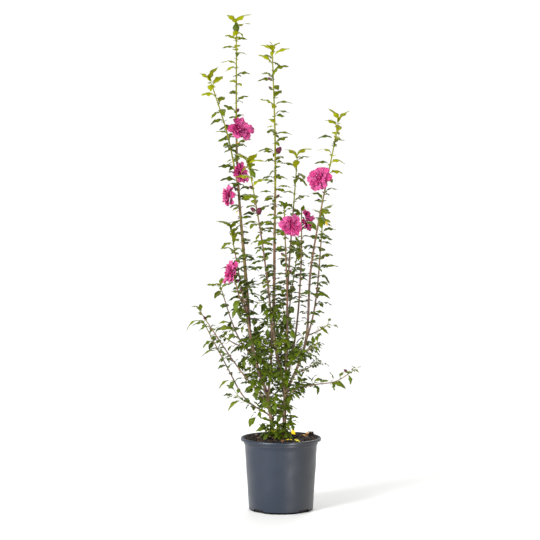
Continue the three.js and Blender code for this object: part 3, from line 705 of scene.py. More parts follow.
def makeBarkMaterial():
    # Shrub bark: thin and grey-brown, cracked along the stem, with pale corky specks
    look = barkLook
    material = newMaterial("crackedBark", look["ridge"], look["roughness"], look["ior"])
    tree, shader, place = treeOf(material)
    stretched = addNode(tree, "Mapping", "Vector", {"Vector": place, "Scale": look["stretch"]})
    grain = addNode(tree, "TexNoise", "Fac", {
        "Vector": stretched, "Scale": 1000 / look["grainMm"], "Detail": 5.0, "Roughness": 0.62})
    specks = addNode(tree, "TexNoise", "Fac", {
        "Vector": place, "Scale": 1000 / look["speckMm"], "Detail": 2.0})
    patches = addNode(tree, "TexNoise", "Fac", {
        "Vector": place, "Scale": 1000 / look["patchMm"], "Detail": 2.0})
    low, high = look["cracks"]
    depth = addNode(tree, "MapRange", "Result", {"Value": grain, "From Min": low, "From Max": high})
    flush = addNode(tree, "Mix", 2, {
        "Factor": patches, 6: linearColour(look["ridge"]), 7: linearColour(look["flush"])}, data_type="RGBA")
    colour = addNode(tree, "Mix", 2, {
        "Factor": depth, 6: linearColour(look["crack"]), 7: flush}, data_type="RGBA")
    height = addNode(tree, "Math", 0, {0: grain, 1: specks}, operation="ADD")
    strength, depthMm = look["bump"]
    bump = addNode(tree, "Bump", "Normal", {
        "Height": height, "Strength": strength, "Distance": depthMm * millimetre})
    setInputs(tree, shader, {"Base Color": colour, "Normal": bump})
    return material


potLook = {
    # the second colour is both the scuffs' colour and that of the shade painted on the pot's right side
    "colour": "#182231", "scuffAndShade": "#202022",
    "ior": 1.49,
    "roughness": (0.3, 0.4),
    "flowMm": 60,
    "flowed": (0.3, 0.7),              # between these values of the flow pattern the gloss changes
    "skinMm": 1.2,                     # coarser than the real grain, which is too fine to show
    "scuffMm": 7.692,
    "scuffStretch": (1, 1, 0.12),      # scuffs are about eight times as long up the wall
    "scuffed": (0.56, 0.8, 0.5),       # where scuffs begin and end in their pattern, and how strong they get
    "paintedShadeAcross": (-0.02, 0.09, 0.7),  # and where the painted shade on the right side begins and ends, in metres from left to right
    "wave": (0.22, 2),                 # strength, and depth in mm
    "grain": (0.12, 0.3),
    # the lip's darker colour is partly painted shade
    "lip": ("#171A20", 0.75, 0.2),     # colour, roughness and shine
    # the foot's near-black colour is a painted shadow under its rounded edge
    "foot": ("#050505", 0.9, 0.1),
}


def makePotMaterial():
    # Moulded polypropylene: through-coloured, softly glossy, with faint flow marks, scuffs and a fine skin; a
    # painted shade turns it greyer towards its right side
    look = potLook
    material = newMaterial("mouldedPolypropylene", look["colour"], look["roughness"][1], look["ior"])
    tree, shader, place = treeOf(material)
    flow = addNode(tree, "TexNoise", "Fac", {
        "Vector": place, "Scale": 1000 / look["flowMm"], "Detail": 4.0, "Roughness": 0.6})
    upright = addNode(tree, "Mapping", "Vector", {"Vector": place, "Scale": look["scuffStretch"]})
    scuffs = addNode(tree, "TexNoise", "Fac", {
        "Vector": upright, "Scale": 1000 / look["scuffMm"], "Detail": 6.0, "Roughness": 0.7})
    low, high, most = look["scuffed"]
    wearAndShade = addNode(tree, "MapRange", "Result", {
        "Value": scuffs, "From Min": low, "From Max": high, "To Max": most})
    # Painted shade: greyer from left to right, towards the side away from the key light
    across = addNode(tree, "SeparateXYZ", "X", {"Vector": place})
    low, high, most = look["paintedShadeAcross"]
    paintedShade = addNode(tree, "MapRange", "Result", {
        "Value": across, "From Min": low, "From Max": high, "To Max": most})
    wearAndShade = addNode(tree, "Math", 0, {0: wearAndShade, 1: paintedShade}, operation="MAXIMUM")
    colour = addNode(tree, "Mix", 2, {
        "Factor": wearAndShade, 6: linearColour(look["colour"]), 7: linearColour(look["scuffAndShade"])}, data_type="RGBA")
    (low, high), (glossy, dull) = look["flowed"], look["roughness"]
    gloss = addNode(tree, "MapRange", "Result", {
        "Value": flow, "From Min": low, "From Max": high, "To Min": glossy, "To Max": dull})
    skin = addNode(tree, "TexNoise", "Fac", {"Vector": place, "Scale": 1000 / look["skinMm"], "Detail": 2.0})
    bump = None
    for height, (strength, depthMm) in ((flow, look["wave"]), (skin, look["grain"])):
        under = {"Normal": bump} if bump else {}
        bump = addNode(tree, "Bump", "Normal", {
            "Height": height, "Strength": strength, "Distance": depthMm * millimetre, **under})
    setInputs(tree, shader, {"Base Color": colour, "Roughness": gloss, "Normal": bump})
    return material


mixLook = {
    "damp": "#0C0906", "fibre": "#1F160F",
    "roughness": 0.92,
    "ior": 1.4,
    "crumbMm": 5,
    "patchMm": 8.333,
    "fibrous": (0.48, 0.72),
    "bump": (0.9, 2),         # strength, and depth in mm
}
chipLook = {"roughness": 0.85, "ior": 1.45, "tints": {
    "barkChip1": "#120C09", "barkChip2": "#241811", "barkChip3": "#42301F", "barkChip4": "#080605"}}


def makeMixMaterial():
    # Composted bark and peat: dark and damp, crumbly, with paler fibres
    look = mixLook
    material = newMaterial("compostedBark", look["damp"], look["roughness"], look["ior"])
    tree, shader, place = treeOf(material)
    crumbs = addNode(tree, "TexVoronoi", "Distance", {"Vector": place, "Scale": 1000 / look["crumbMm"]})
    patches = addNode(tree, "TexNoise", "Fac", {
        "Vector": place, "Scale": 1000 / look["patchMm"], "Detail": 5.0})
    low, high = look["fibrous"]
    pale = addNode(tree, "MapRange", "Result", {"Value": patches, "From Min": low, "From Max": high})
    colour = addNode(tree, "Mix", 2, {
        "Factor": pale, 6: linearColour(look["damp"]), 7: linearColour(look["fibre"])}, data_type="RGBA")
    strength, depthMm = look["bump"]
    bump = addNode(tree, "Bump", "Normal", {
        "Height": crumbs, "Strength": strength, "Distance": depthMm * millimetre})
    setInputs(tree, shader, {"Base Color": colour, "Normal": bump})
    return material


def dulledPlastic(name, look):
    colour, roughness, shine = look
    return newMaterial(name, colour, roughness, potLook["ior"], {"Specular IOR Level": shine})


# Chips of bark: dry on top, so they are matt and some are paler than the mix
chipMaterials = list(tintMaterials(chipLook).values())
potMaterial = makePotMaterial()
# The same plastic inside the lip, where peat has dried on it: dull, and darker with painted shade
dustAndShadeMaterial = dulledPlastic("dustedAndShadedPolypropylene", potLook["lip"])
# And round the foot, painted almost black: a painted shadow under its rounded edge
footShadowMaterial = dulledPlastic("paintedShadowPolypropylene", potLook["foot"])
mixMaterial = makeMixMaterial()
barkMaterial = makeBarkMaterial()


def addObject(name, data):
    made = bpy.data.objects.new(name, data)
    bpy.context.scene.collection.objects.link(made)
    return made


def makePiece(name, patches, materials, replaced=(), smooth=True):
    # A patch is its points in mm, its faces, and one material index or one for each face; all make one mesh
    mesh = bpy.data.meshes.new(name)
    points, faces, indices, offset = [], [], [], 0
    for patchPoints, patchFaces, index in patches:
        patchPoints = np.asarray(patchPoints).reshape(-1, 3)
        points.append(patchPoints)
        faces.extend((np.asarray(patchFaces) + offset).tolist())
        indices.extend(np.broadcast_to(index, len(patchFaces)).tolist())
        offset += len(patchPoints)
    mesh.from_pydata((np.concatenate(points) * millimetre).tolist(), [], faces)
    for material in materials:
        mesh.materials.append(material)
    mesh.polygons.foreach_set("material_index", indices)
    mesh.polygons.foreach_set("use_smooth", [smooth] * len(faces))
    mesh.update()
    piece = addObject(name, mesh)
    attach(piece, "root")
    if replaced:
        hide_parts(*replaced)
    return piece


def nodesLike(*starts):
    return [name for name in nodeNames if name.startswith(starts)]


def gridFaces(rowCount, columnCount, closed=False):
    last = columnCount if closed else columnCount - 1
    row, column = np.meshgrid(np.arange(rowCount - 1), np.arange(last), indexing="ij")
    a = row * columnCount + column
    b = row * columnCount + (column + 1) % columnCount
    return np.stack([a, b, b + columnCount, a + columnCount], axis=-1).reshape(-1, 4)


def rings(reaches, heights, angles):
    # Rings of points round the pot's axis
    reaches, heights, angles = np.broadcast_arrays(reaches, heights, angles)
    return np.stack([reaches * np.cos(angles), reaches * np.sin(angles), heights], axis=-1)


def tube(path, radii, sides, relief=None, end=0.03):
    # A closed ring round each point of a path, drawn in almost to a point at its end
    angles = around(sides)
    made = []
    for i, point in enumerate(path):
        _, side, depth = acrossAt(path, i)
        reach = radii[i] * (relief[i] if relief is not None else np.ones(sides))
        x, y = (np.sin(angles) * reach)[:, None], (np.cos(angles) * reach)[:, None]
        made.append(point + side * x + depth * y)
    made.append(mix(path[-1], made[-1], end))
    return np.array(made), gridFaces(len(made), sides, closed=True)


def alongCurve(path, step):
    # Points a few millimetres apart on a smooth curve through a path, with each one's share of its length
    fine = pathThrough(path, step)
    return fine, np.linspace(0, 1, len(fine))


# Ridges, collars and the lobes at a trunk's foot are shares of the radius. The ridges add up from waves:
# their heights are shares of a ridge, a count goes round the stem, and quickness is in radians to a mm.
barkShape = {
    "trunk": {"sides": 30, "step": 1.6, "ridges": 0.06, "collar": 0.14, "lobes": 0.16},
    "bough": {"sides": 14, "step": 4, "ridges": 0.033, "collar": 0.077, "lobes": 0},
    "shift": 1.7,                 # from one limb's pattern to the next
    "wander": (0.5, 0.05),        # reach and quickness
    "broad": (0.5, 5),            # height and count
    "narrow": (0.3, 9, 0.07),     # height, count and quickness
    "rungs": (0.35, 0.61, 3, 2),  # height and quickness, and how far and how often they bow
    "foot": (4, 10),              # how many lobes, and how fast they fade upwards
    "collarAt": (12, 3.0),        # place on each internode, and half width, in mm
}


def barkRelief(shares, seed, sides, step, ridges, collar, lobes):
    # Long ridges that wander round the stem, with a collar at each old node
    along, turn = np.meshgrid(np.arange(len(shares)) * step, around(sides), indexing="ij")
    shift = seed * barkShape["shift"]
    reach, slow = barkShape["wander"]
    wander = reach * np.sin(along * slow + shift)
    height, count = barkShape["broad"]
    relief = np.sin(count * (turn + wander) + shift) * height
    height, count, lean = barkShape["narrow"]
    relief += np.sin(count * turn - along * lean + 2 * shift) * height
    height, quick, bow, count = barkShape["rungs"]
    relief += height * np.sin(along * quick + bow * np.sin(count * turn + shift))
    place, halfWidth = barkShape["collarAt"]
    nodes = np.exp(-((along % growth["internode"] - place) / halfWidth) ** 2)
    count, fade = barkShape["foot"]
    foot = np.exp(-shares * fade)[:, None] * np.sin(count * turn + seed)
    return 1 + ridges * relief + collar * nodes + lobes * foot


def makeBark():
    patches = []
    for seed, limb in enumerate(limbs.values()):
        shape = barkShape["trunk" if limb["isTrunk"] else "bough"]
        path, shares = alongCurve(limb["path"], shape["step"])
        radii = np.array([limb["radiusAt"](share) for share in shares])
        patches.append((*tube(path, radii, shape["sides"], barkRelief(shares, seed, **shape)), 0))
    makePiece("bark", patches, [barkMaterial], nodesLike("trunk_", "bough_"))


# Leaves that stand out against the light, each at its own place: root, tip, width, and lean towards the
# front in degrees
standOuts = {
    "leafTip": [
        ((-113, -172, 1140), (-135, -182, 1192), 15, 40), ((-110, -172, 1140), (-53, -182, 1172), 15, 46),
        ((-151, 34, 1616), (-176, 20, 1654), 30, 84), ((-29, 58, 1483), (-73, 48, 1526), 20, 66),
        ((-29, 58, 1534), (-30, 46, 1570), 13, 70), ((-31, 54, 1532), (-62, 44, 1561), 17, 60),
        ((-24, 56, 1514), (25, 46, 1549), 20, 60),
    ],
    "leafYoung": [
        ((-268, 88, 622), (-324, 78, 608), 14, 30), ((-214, 116, 740), (-252, 106, 752), 18, 40),
        ((252, -90, 480), (262, -96, 492), 9, 30), ((-29, 56, 1441), (-13, 46, 1484), 23, 70),
        ((-30, 56, 1447), (-64, 46, 1463), 15, 40), ((-149, 34, 1562), (-116, 24, 1578), 19, 55),
    ],
    "leafMid": [
        ((168, -74, 440), (161, -86, 472), 26, 60), ((-130, 2, 367), (-180, -8, 333), 15, 50),
        ((-159, 70, 594), (-214, 60, 608), 26, 58), ((-213, 72, 520), (-270, 62, 517), 13, 30),
        ((-206, -66, 620), (-174, -76, 640), 18, 40), ((138, 60, 801), (193, 50, 818), 17, 34),
        ((120, -9, 614), (161, -20, 598), 17, 44), ((-168, 56, 424), (-212, 46, 407), 14, 40),
        ((13, -14, 281), (50, -26, 292), 22, 55), ((109, -59, 430), (132, -69, 448), 19, 50),
        ((-20, -10, 262), (4, -34, 252), 20, 58), ((-50, -16, 326), (-73, -28, 340), 17, 50),
        ((248, -90, 478), (231, -96, 493), 10, 30), ((-27, 50, 1090), (-81, 40, 1104), 17, 40),
        ((-20, 50, 1100), (20, 40, 1114), 15, 40), ((-177, 5, 1247), (-213, -5, 1270), 15, 36),
        ((-24, 52, 1191), (-57, 42, 1204), 15, 40), ((-150, 34, 1538), (-198, 24, 1544), 16, 45),
        ((-21, 52, 1249), (33, 42, 1267), 16, 45), ((-22, 54, 1345), (34, 44, 1370), 17, 45),
    ],
    "leafFull": [
        ((164, -73, 428), (213, -85, 421), 24, 62), ((-80, 23, 309), (-107, 12, 276), 26, 66),
        ((111, 39, 711), (163, 30, 718), 24, 50), ((-151, 55, 427), (-175, 45, 403), 20, 55),
        ((-44, 8, 268), (-83, 0, 270), 25, 52), ((17, -12, 308), (56, -22, 320), 16, 44),
        ((-37, 6, 288), (-63, -4, 313), 20, 52), ((7, -14, 262), (38, -34, 250), 18, 56),
        ((128, -64, 429), (155, -76, 443), 16, 50), ((-26, 0, 250), (-52, -22, 252), 20, 50),
        ((-43, -16, 382), (-63, -28, 350), 18, 40), ((7, -16, 292), (-17, -28, 271), 18, 45),
        ((-27, 48, 1057), (-70, 38, 1067), 15, 40), ((-140, 20, 966), (-104, 10, 987), 17, 46),
        ((-137, 22, 893), (-104, 12, 910), 17, 46), ((-62, -128, 897), (-23, -138, 920), 22, 60),
        ((-108, -172, 1137), (-84, -182, 1108), 23, 62), ((-175, 60, 595), (-198, 50, 579), 17, 40),
    ],
    "leafDeep": [
        # The seven low at the trunks' front take the deep tint as painted shade, against the full key light
        # that falls on them
        ((7, -16, 375), (30, -28, 347), 18, 40), ((-3, -16, 389), (-30, -28, 360), 18, 55),
        ((10, -16, 349), (33, -28, 324), 17, 45), ((-47, -16, 352), (-20, -28, 320), 18, 60),
        ((0, -16, 326), (-17, -28, 294), 18, 40), ((7, -16, 335), (-13, -28, 350), 17, 40),
        ((-43, -16, 306), (-20, -28, 281), 18, 58), ((174, -64, 1232), (122, -74, 1246), 17, 50),
        ((157, -60, 1150), (112, -70, 1165), 17, 50), ((-151, 26, 1630), (-148, 12, 1590), 28, 8),
    ],
    "leafYellow": [
        ((35, -54, 277), (46, -64, 262), 16, 70),
    ],
}
standOutYouth = 0.6
# A few leaves that are turning: shoot, height, heading in degrees and length
yellowLeaves = {
    "places": [("left_tall", 1228, 300, 21), ("left_tall", 1107, 290, 19), ("left_tall", 1001, 200, 19),
               ("right_back", 962, 320, 24)],
    "rise": -0.3,
    "breadth": 0.8,
    "sway": 0.3,
}

# Twiglets that fill the gaps between the sprays: where each ends, and the leaves on it
fillers = {
    "ends": [
        (-116, -10, 707), (-79, -70, 698), (-46, -80, 672), (-10, -40, 666), (-123, -20, 622),
        (-63, -60, 631), (-130, 10, 499), (-127, 0, 457), (-86, -30, 470), (-99, -60, 747), (36, -60, 608),
        (69, -40, 580), (36, -70, 474), (40, -50, 422), (30, -40, 388), (-185, 40, 506), (63, -60, 440),
        (-143, -30, 672), (30, -20, 306), (-73, 0, 333), (0, -75, 655), (-22, -90, 668), (-118, -20, 572),
        (-132, -10, 545), (-43, -60, 500), (-46, -70, 618), (-90, -40, 455), (105, -50, 425),
        (33, -30, 296), (-5, -40, 283), (-40, -25, 274), (22, -42, 272), (-8, -90, 668), (110, -40, 560),
        (-60, -20, 270), (-48, -26, 258),
    ],
    "seed": 11,
    "leaves": 6,
    "size": (0.4, 0.82),
    "along": (0.25, 1.0),
    "forward": (0.1, 0.9),
    "turnSpread": 30,
    "lift": 0.1,
    "sway": 0.6,
    "low": 320,
    "deepShare": (0.55, 0.85),    # share of deep green leaves, above that height and below it
}


def twigTo(end):
    # A twiglet from the nearest wood
    end = np.array(end, float)
    closest = closestOn(end[None], *woodPieces)[0]
    return closest[np.linalg.norm(closest - end, axis=1).argmin()], end


fillerTwigs = [twigTo(end) for end in fillers["ends"]]
standOutTwigs = [twigTo(root) for leaves in standOuts.values() for root, *_ in leaves]

twigShape = {
    "mesh": {True: (6, 8), False: (9, 6)},   # step and sides of a shoot and of a spray
    # girth against the part's, at a shoot's foot and at its tip
    "stout": {True: (0.94, 0.72), False: (1, 1), "left_tall": (1.25, 0.72), "middle_tall": (1.12, 0.72)},
    "nodeSwell": 0.12,
    "tip": 0.6,
    "twiglet": (1.3, 1.0, 0.7),   # radii at its foot, middle and end
    "twigletSides": 5,
    "leastTwiglet": 3,        # nearer than this, the leaf grows on the wood itself
}


def makeTwigs():
    # Shoots ripen from grey-brown bark at the foot through tan to green at the tip
    patches = []
    for axis in axes:
        name, isShoot = axis["name"], axis["isShoot"]
        step, sides = twigShape["mesh"][isShoot]
        path, shares = alongCurve(axis["stem"], step)
        swell = 1 + twigShape["nodeSwell"] * np.cos(shares * (len(axis["path"]) - 2) * fullTurn) ** 8
        stout = mix(*twigShape["stout"].get(name, twigShape["stout"][isShoot]), shares)
        radii = np.array([axis["radiusAt"](share) for share in shares]) * swell * stout
        radii[-1] *= twigShape["tip"]
        points, faces = tube(path, radii, sides)
        edges = twigLook["ripening"].get(name, twigLook["ripening"][isShoot])
        if isShoot and axis["path"][-1][2] < growth["lowShoot"][0]:
            edges = twigLook["ripening"]["low"]
        ripeness = shares[np.minimum(np.arange(len(faces)) // sides, len(shares) - 1)]
        patches.append((points, faces, np.searchsorted(edges, ripeness, side="right")))
    green = list(twigMaterials).index("twigGreen")
    for root, end in [*twiglets, *standOutTwigs, *fillerTwigs]:
        if np.linalg.norm(end - root) >= twigShape["leastTwiglet"]:
            path = np.array([root, (root + end) / 2 + up, end])
            patches.append((*tube(path, twigShape["twiglet"], twigShape["twigletSides"]), green))
    makePiece("twigs", patches, list(twigMaterials.values()), nodesLike("shoot_", "foliage_"))


# Half of a hibiscus leaf's outline, as shares of its length and of its half width: three lobes with coarse
# teeth. Where two numbers are given they are for low down and near a tip, and a spread is drawn from.
leafShape = {
    "stalk": 0.14,
    "stalkHalfWidth": 0.09,
    "outline": [(0.0, 0.1), (0.1, 0.2), (0.2, 0.42), (0.27, 0.58), (0.31, 0.8), (0.35, 0.72), (0.4, 0.86),
                (0.46, 1.04), (0.48, 0.8), (0.53, 0.58), (0.58, 0.56), (0.62, 0.64), (0.65, 0.48),
                (0.71, 0.4), (0.75, 0.46), (0.78, 0.3), (0.86, 0.28), (0.9, 0.27), (0.95, 0.14), (1.0, 0.02)],
    "youngOutline": [(0.0, 0.07), (0.2, 0.5), (0.38, 0.9), (0.54, 0.98), (0.72, 0.76), (0.88, 0.4),
                     (1.0, 0.02)],
    "youth": ((0.1, 0.5), (0.35, 0.85)),     # how smooth the outline is by the leaf's place on its shoot
    "columns": (-1, -0.5, 0, 0.5, 1),
    "slim": 0.88,
    "droop": (0.42, 0.66),    # how far the two halves hang from the midrib
    "droopSpread": (0.4, 1.25),
    "tipNod": (0.1, 0.2),
    "nodSpread": (0.2, 1.8),
    "arch": (1.2, 1.55),      # how much more it arches than the part's leaf
    "archSpread": (0.75, 1.2),
    "archPower": 0.8,         # below 1, the arch is highest before the middle
    "nodPower": 3,            # above 1, only the end nods
    "flatTip": 0.4,           # how much less the halves hang at the tip
    "bend": 0.05,
    "wave": (0.22, 15, 1.3),  # depth, quickness, and how far the two halves are out of step
    "facingSpread": (-0.35, 0.32),   # how far a blade turns to the front
}


def leafPatch(leaves, seed):
    # All leaves at once: a strip for the stalk and a folded, waved blade of four columns
    random = np.random.default_rng(seed)
    shape, count, stalk = leafShape, len(leaves), leafShape["stalk"]
    spread = lambda name: random.uniform(*shape[name + "Spread"], count)
    field = lambda key: np.array([leaf[key] for leaf in leaves])
    each = lambda values: values[:, None, None]    # one for each leaf, against its rows and columns
    blade = [(mix(stalk, 1, t), w) for t, w in shape["outline"]]
    outline = np.array([(0.0, shape["stalkHalfWidth"]), *blade])
    young = np.array(shape["youngOutline"])
    smooth = np.interp(outline[:, 0], mix(stalk, 1, young[:, 0]), young[:, 1])
    youth = np.array([leaf.get("youth", 0) for leaf in leaves])
    halves = mix(outline[:, 1][None], smooth[None], np.interp(youth, *shape["youth"])[:, None])
    columns = np.array(shape["columns"])
    t = outline[:, 0][None, :, None]
    v = halves[:, :, None] * columns * shape["slim"]
    length, half = each(field("length")), each(field("width")) / 2
    tipward = np.minimum(youth * 2, 1)
    droop = each(spread("droop") * mix(*shape["droop"], tipward))
    phase = each(random.uniform(0, fullTurn, count))
    nod = each(spread("nod") * mix(*shape["tipNod"], tipward))
    bend = each(random.normal(0, shape["bend"], count))
    arch = each(growth["leafArch"] * spread("arch") * mix(*shape["arch"], youth))
    facing = spread("facing") * np.array(["axis" in leaf for leaf in leaves])
    along, above = field("along"), field("above") + front * facing[:, None]
    above = above - along * np.einsum("nk,nk->n", above, along)[:, None]
    above = above / np.linalg.norm(above, axis=1)[:, None]
    blade = np.clip((t - stalk) / (1 - stalk), 0, 1)
    depth, quickness, outOfStep = shape["wave"]
    lift = arch * np.sin(np.pi * t ** shape["archPower"]) - nod * blade ** shape["nodPower"]
    rise = length * lift - half * np.abs(v) * droop * (1 - shape["flatTip"] * blade)
    rise = rise + half * depth * np.abs(v) * np.sin(blade * quickness + phase + np.sign(columns) * outOfStep)
    across = half * v + length * bend * np.sin(np.pi * blade)
    points = (each(field("root")) + each(along) * (t * length)[..., None]
              + each(np.cross(above, along)) * across[..., None] + each(above) * rise[..., None])
    pointsOfOne = len(outline) * len(columns)
    faces = gridFaces(len(outline), len(columns))[None] + each(np.arange(count) * pointsOfOne)
    return points, faces.reshape(-1, 4)


def tintOf(leaf):
    # A tint for each leaf by the age of its spray: green-gold at the tips, deep green low down
    axis = axes[leaf["axis"]]
    chance = roll(leaf["axis"], leaf["node"], 21)
    if not axis["isShoot"]:
        return next(tint for below, tint in leafLook["sprayTints"] if chance < below)
    shade = leafLook["darkShoots"].get(axis["name"], np.interp(axis["path"][-1][2], *leafLook["shaded"]))
    ripeness = leaf["youth"] - shade
    if leaf["youth"] < leafLook["tipFrom"]:
        ripeness += mix(*leafLook["uneven"], chance)
    return next(tint for over, tint in leafLook["shootTints"] if ripeness > over)


def standOutLeaf(root, tip, width, lean):
    root, tip = np.array(root, float), np.array(tip, float)
    length = np.linalg.norm(tip - root)
    sway = math.radians(lean) * (1 if tip[0] > root[0] else -1)
    return newLeaf(root, (tip - root) / length, length, width, sway, youth=standOutYouth)


def turningLeaf(name, height, heading, length):
    number = numberOf(name)
    root = placeAtHeight(axes[number]["path"], height)
    along = unit(wayAt(math.radians(heading), yellowLeaves["rise"]))
    return newLeaf(root, along, length, length * yellowLeaves["breadth"], yellowLeaves["sway"], youth=1,
                   axis=number)


def fillerLeaves():
    random = np.random.default_rng(fillers["seed"])
    spread = lambda name: random.uniform(*fillers[name])
    found = []
    for root, end in fillerTwigs:
        away = unit(end - root)
        side = unit(np.cross(away, up))
        for k in range(fillers["leaves"]):
            stray = random.uniform(-fillers["turnSpread"], fillers["turnSpread"])
            turn = math.radians(growth["goldenTurn"] * k + stray)
            outward = swung(side, np.cross(side, away), turn)
            along = unit(outward + away * spread("forward") + up * fillers["lift"])
            length = growth["leafLength"] * spread("size")
            width = length * growth["leafWidth"] / growth["leafLength"]
            place = mix(root, end, spread("along"))
            sway = random.uniform(-fillers["sway"], fillers["sway"])
            deep = fillers["deepShare"][int(end[2] < fillers["low"])]
            tint = "leafDeep" if random.random() < deep else "leafFull"
            found.append((newLeaf(place, along, length, width, sway, youth=0), tint))
    return found


def makeLeaves():
    byTint = {tint: [standOutLeaf(*row) for row in standOuts[tint]] for tint in leafMaterials}
    grown = [(leaf, tintOf(leaf)) for leaf in [*mainLeaves, *smallLeaves]]
    for leaf, tint in [*fillerLeaves(), *grown]:
        byTint[tint].append(leaf)
    byTint["leafYellow"].extend(turningLeaf(*row) for row in yellowLeaves["places"])
    for seed, (tint, leaves) in enumerate(byTint.items()):
        replaced = sorted({axes[leaf["axis"]]["mass"] for leaf in leaves if "axis" in leaf})
        makePiece(tint, [(*leafPatch(leaves, seed), 0)], [leafMaterials[tint]], replaced)
        print("  ", tint, len(leaves))


petalShape = {
    # ring: petals, length share of the radius, width, opening angle from the flower's axis, ruffle, tints
    "rings": [
        (6, 1.0, 0.8, 84, 0.08, ("petalPale", "petalPink")),
        (7, 0.98, 0.6, 70, 0.1, ("petalPink", "petalPale")),
        (7, 0.9, 0.5, 54, 0.12, ("petalPale", "petalPink")),
        (7, 0.78, 0.42, 36, 0.14, ("petalPink", "petalPale")),
        (6, 0.56, 0.36, 16, 0.14, ("petalPale", "petalDeep")),
    ],
    "outline": [(0.0, 0.16), (0.14, 0.3), (0.3, 0.55), (0.48, 0.82), (0.64, 0.98), (0.78, 0.96), (0.9, 0.7),
                (1.0, 0.3)],
    "columns": 9,
    "seed": 100,
    "foot": 0.4,              # how far behind the centre the petals meet, as a share of the radius
    "heartRows": 2,
    "firstTint": 0.72,        # share of the petals of a ring that have its first tint
    "turn": (-0.18, 0.18),
    "length": (0.74, 1.1),
    "width": (0.8, 1.25),
    "opening": (-13, 13),
    "curl": (0.15, 0.75),
    "curlPower": 1.6,         # above 1, curl and ruffle come on towards the edge
    "rufflePower": 1.3,
    "crumples": (5, 9),
    "phase": (0, 6.28),
    "creases": (0.6, 17, 9),  # height against the crumples, and quickness across and along
    "cup": 0.16,
    "notch": (0.05, 0.95, 9),    # depth, the share of the length that it starts at, and quickness across
    "heart": {"length": 0.5, "radius": 0.16, "twist": 9, "calyx": 0.4},
    "sepals": {"count": 6, "drop": 3, "length": 0.46, "width": 0.5, "opening": 104, "ruffle": 0.02},
}
budShape = {
    "zone": (0.35, 0.9, 0.3),     # from and to which share of a shoot, and the chance at each node
    "size": (13, 4.6),
    "reach": 9,
    "rise": (0.75, 0.66),
    "tips": ((0.55, "budFlush"), (0.75, "petalSpent"), (1, "budGreen")),
    "low": ((-45.0, 8.0, 384.0), (-0.2, -0.55, 0.8), (17, 5.4)),   # the one on the left trunk
    "sunk": 3,
    "twist": 1.8,             # of the ribs' waves from foot to tip, in radians
    "calyx": 0.45,
    "closed": {"length": 1.15, "radius": 0.36, "twist": 6, "calyx": 0.2},   # shares of a bloom's diameter
    "bloomFoot": {"open": 0.24, "closed": 0.55},     # from a bloom's centre back to its stalk, the same way
    "stalks": {"open": 1.5, "closed": 1.3, "bud": 0.9},
    "stalkRise": 2.5,
    "stalkMesh": (4, 7),      # step and sides
    "ribs": (5, 0.13),        # count, and height as a share of the radius
    "outline": (0.86, 0.1, 0.75),    # how much of a half wave it follows, from where, and how blunt it is
    "steps": 12,
    "sides": 14,
}


def petalPatch(foot, direction, outward, length, width, opening, ruffle, random):
    outline = np.array(petalShape["outline"])
    v = np.linspace(-1, 1, petalShape["columns"])
    u = outline[:, 0][:, None] * np.ones_like(v)[None]
    w = outline[:, 1][:, None] * v[None]
    angle = opening + random.uniform(*petalShape["curl"]) * u ** petalShape["curlPower"]
    step = np.gradient(outline[:, 0])[:, None] * length
    out, high = np.cumsum(np.sin(angle) * step, axis=0), np.cumsum(np.cos(angle) * step, axis=0)
    phase, turns = random.uniform(*petalShape["phase"]), random.uniform(*petalShape["crumples"])
    creased, across, lengthwise = petalShape["creases"]
    crumple = np.sin(w * turns + phase) + creased * np.sin(w * across + phase * 2 + u * lengthwise)
    ruffled = ruffle * length * u ** petalShape["rufflePower"] * crumple
    inward = ruffled + petalShape["cup"] * width * w ** 2 * length
    deep, begins, quick = petalShape["notch"]
    notch = deep * length * np.cos(v * quick + phase)[None] * (u > begins)
    out = out - np.cos(angle) * inward + notch * np.sin(angle)
    high = high + np.sin(angle) * inward + notch * np.cos(angle)
    points = (foot + outward * out[..., None] + direction * high[..., None]
              + np.cross(direction, outward) * (w * width * length / 2)[..., None])
    return points, gridFaces(*u.shape)


def openBloom(bloom, seed):
    random = np.random.default_rng(petalShape["seed"] + seed)
    spread = lambda name: random.uniform(*petalShape[name])
    tints = list(petalMaterials)
    direction, radius = bloom["direction"], bloom["diameter"] / 2
    sideA = unit(np.cross(direction, up + 0.1))
    sides = sideA, np.cross(direction, sideA)
    foot = bloom["centre"] - direction * radius * petalShape["foot"]
    patches = []
    for ring, (count, reach, width, opening, ruffle, ringTints) in enumerate(petalShape["rings"]):
        for k in range(count):
            outward = swung(*sides, fullTurn * (k + 0.5 * ring + spread("turn")) / count)
            points, faces = petalPatch(foot, direction, outward, radius * reach * spread("length"),
                                       width * spread("width"), math.radians(opening + spread("opening")),
                                       ruffle, random)
            isHeart = np.arange(len(faces)) < (petalShape["columns"] - 1) * petalShape["heartRows"]
            tint = ringTints[0] if random.random() < petalShape["firstTint"] else ringTints[1]
            patches.append((points, faces, np.where(isHeart, tints.index("petalHeart"), tints.index(tint))))
    heart, sepals = petalShape["heart"], petalShape["sepals"]
    patches.append(rolledBud(foot, direction, radius * heart["length"], radius * heart["radius"],
                             heart["twist"], ("petalHeart", "petalDeep"), heart["calyx"], seed))
    for k in range(sepals["count"]):
        outward = swung(*sides, fullTurn * k / sepals["count"])
        points, faces = petalPatch(foot - direction * sepals["drop"], direction, outward,
                                   radius * sepals["length"], sepals["width"],
                                   math.radians(sepals["opening"]), sepals["ruffle"], random)
        patches.append((points, faces, tints.index("budGreen")))
    return patches


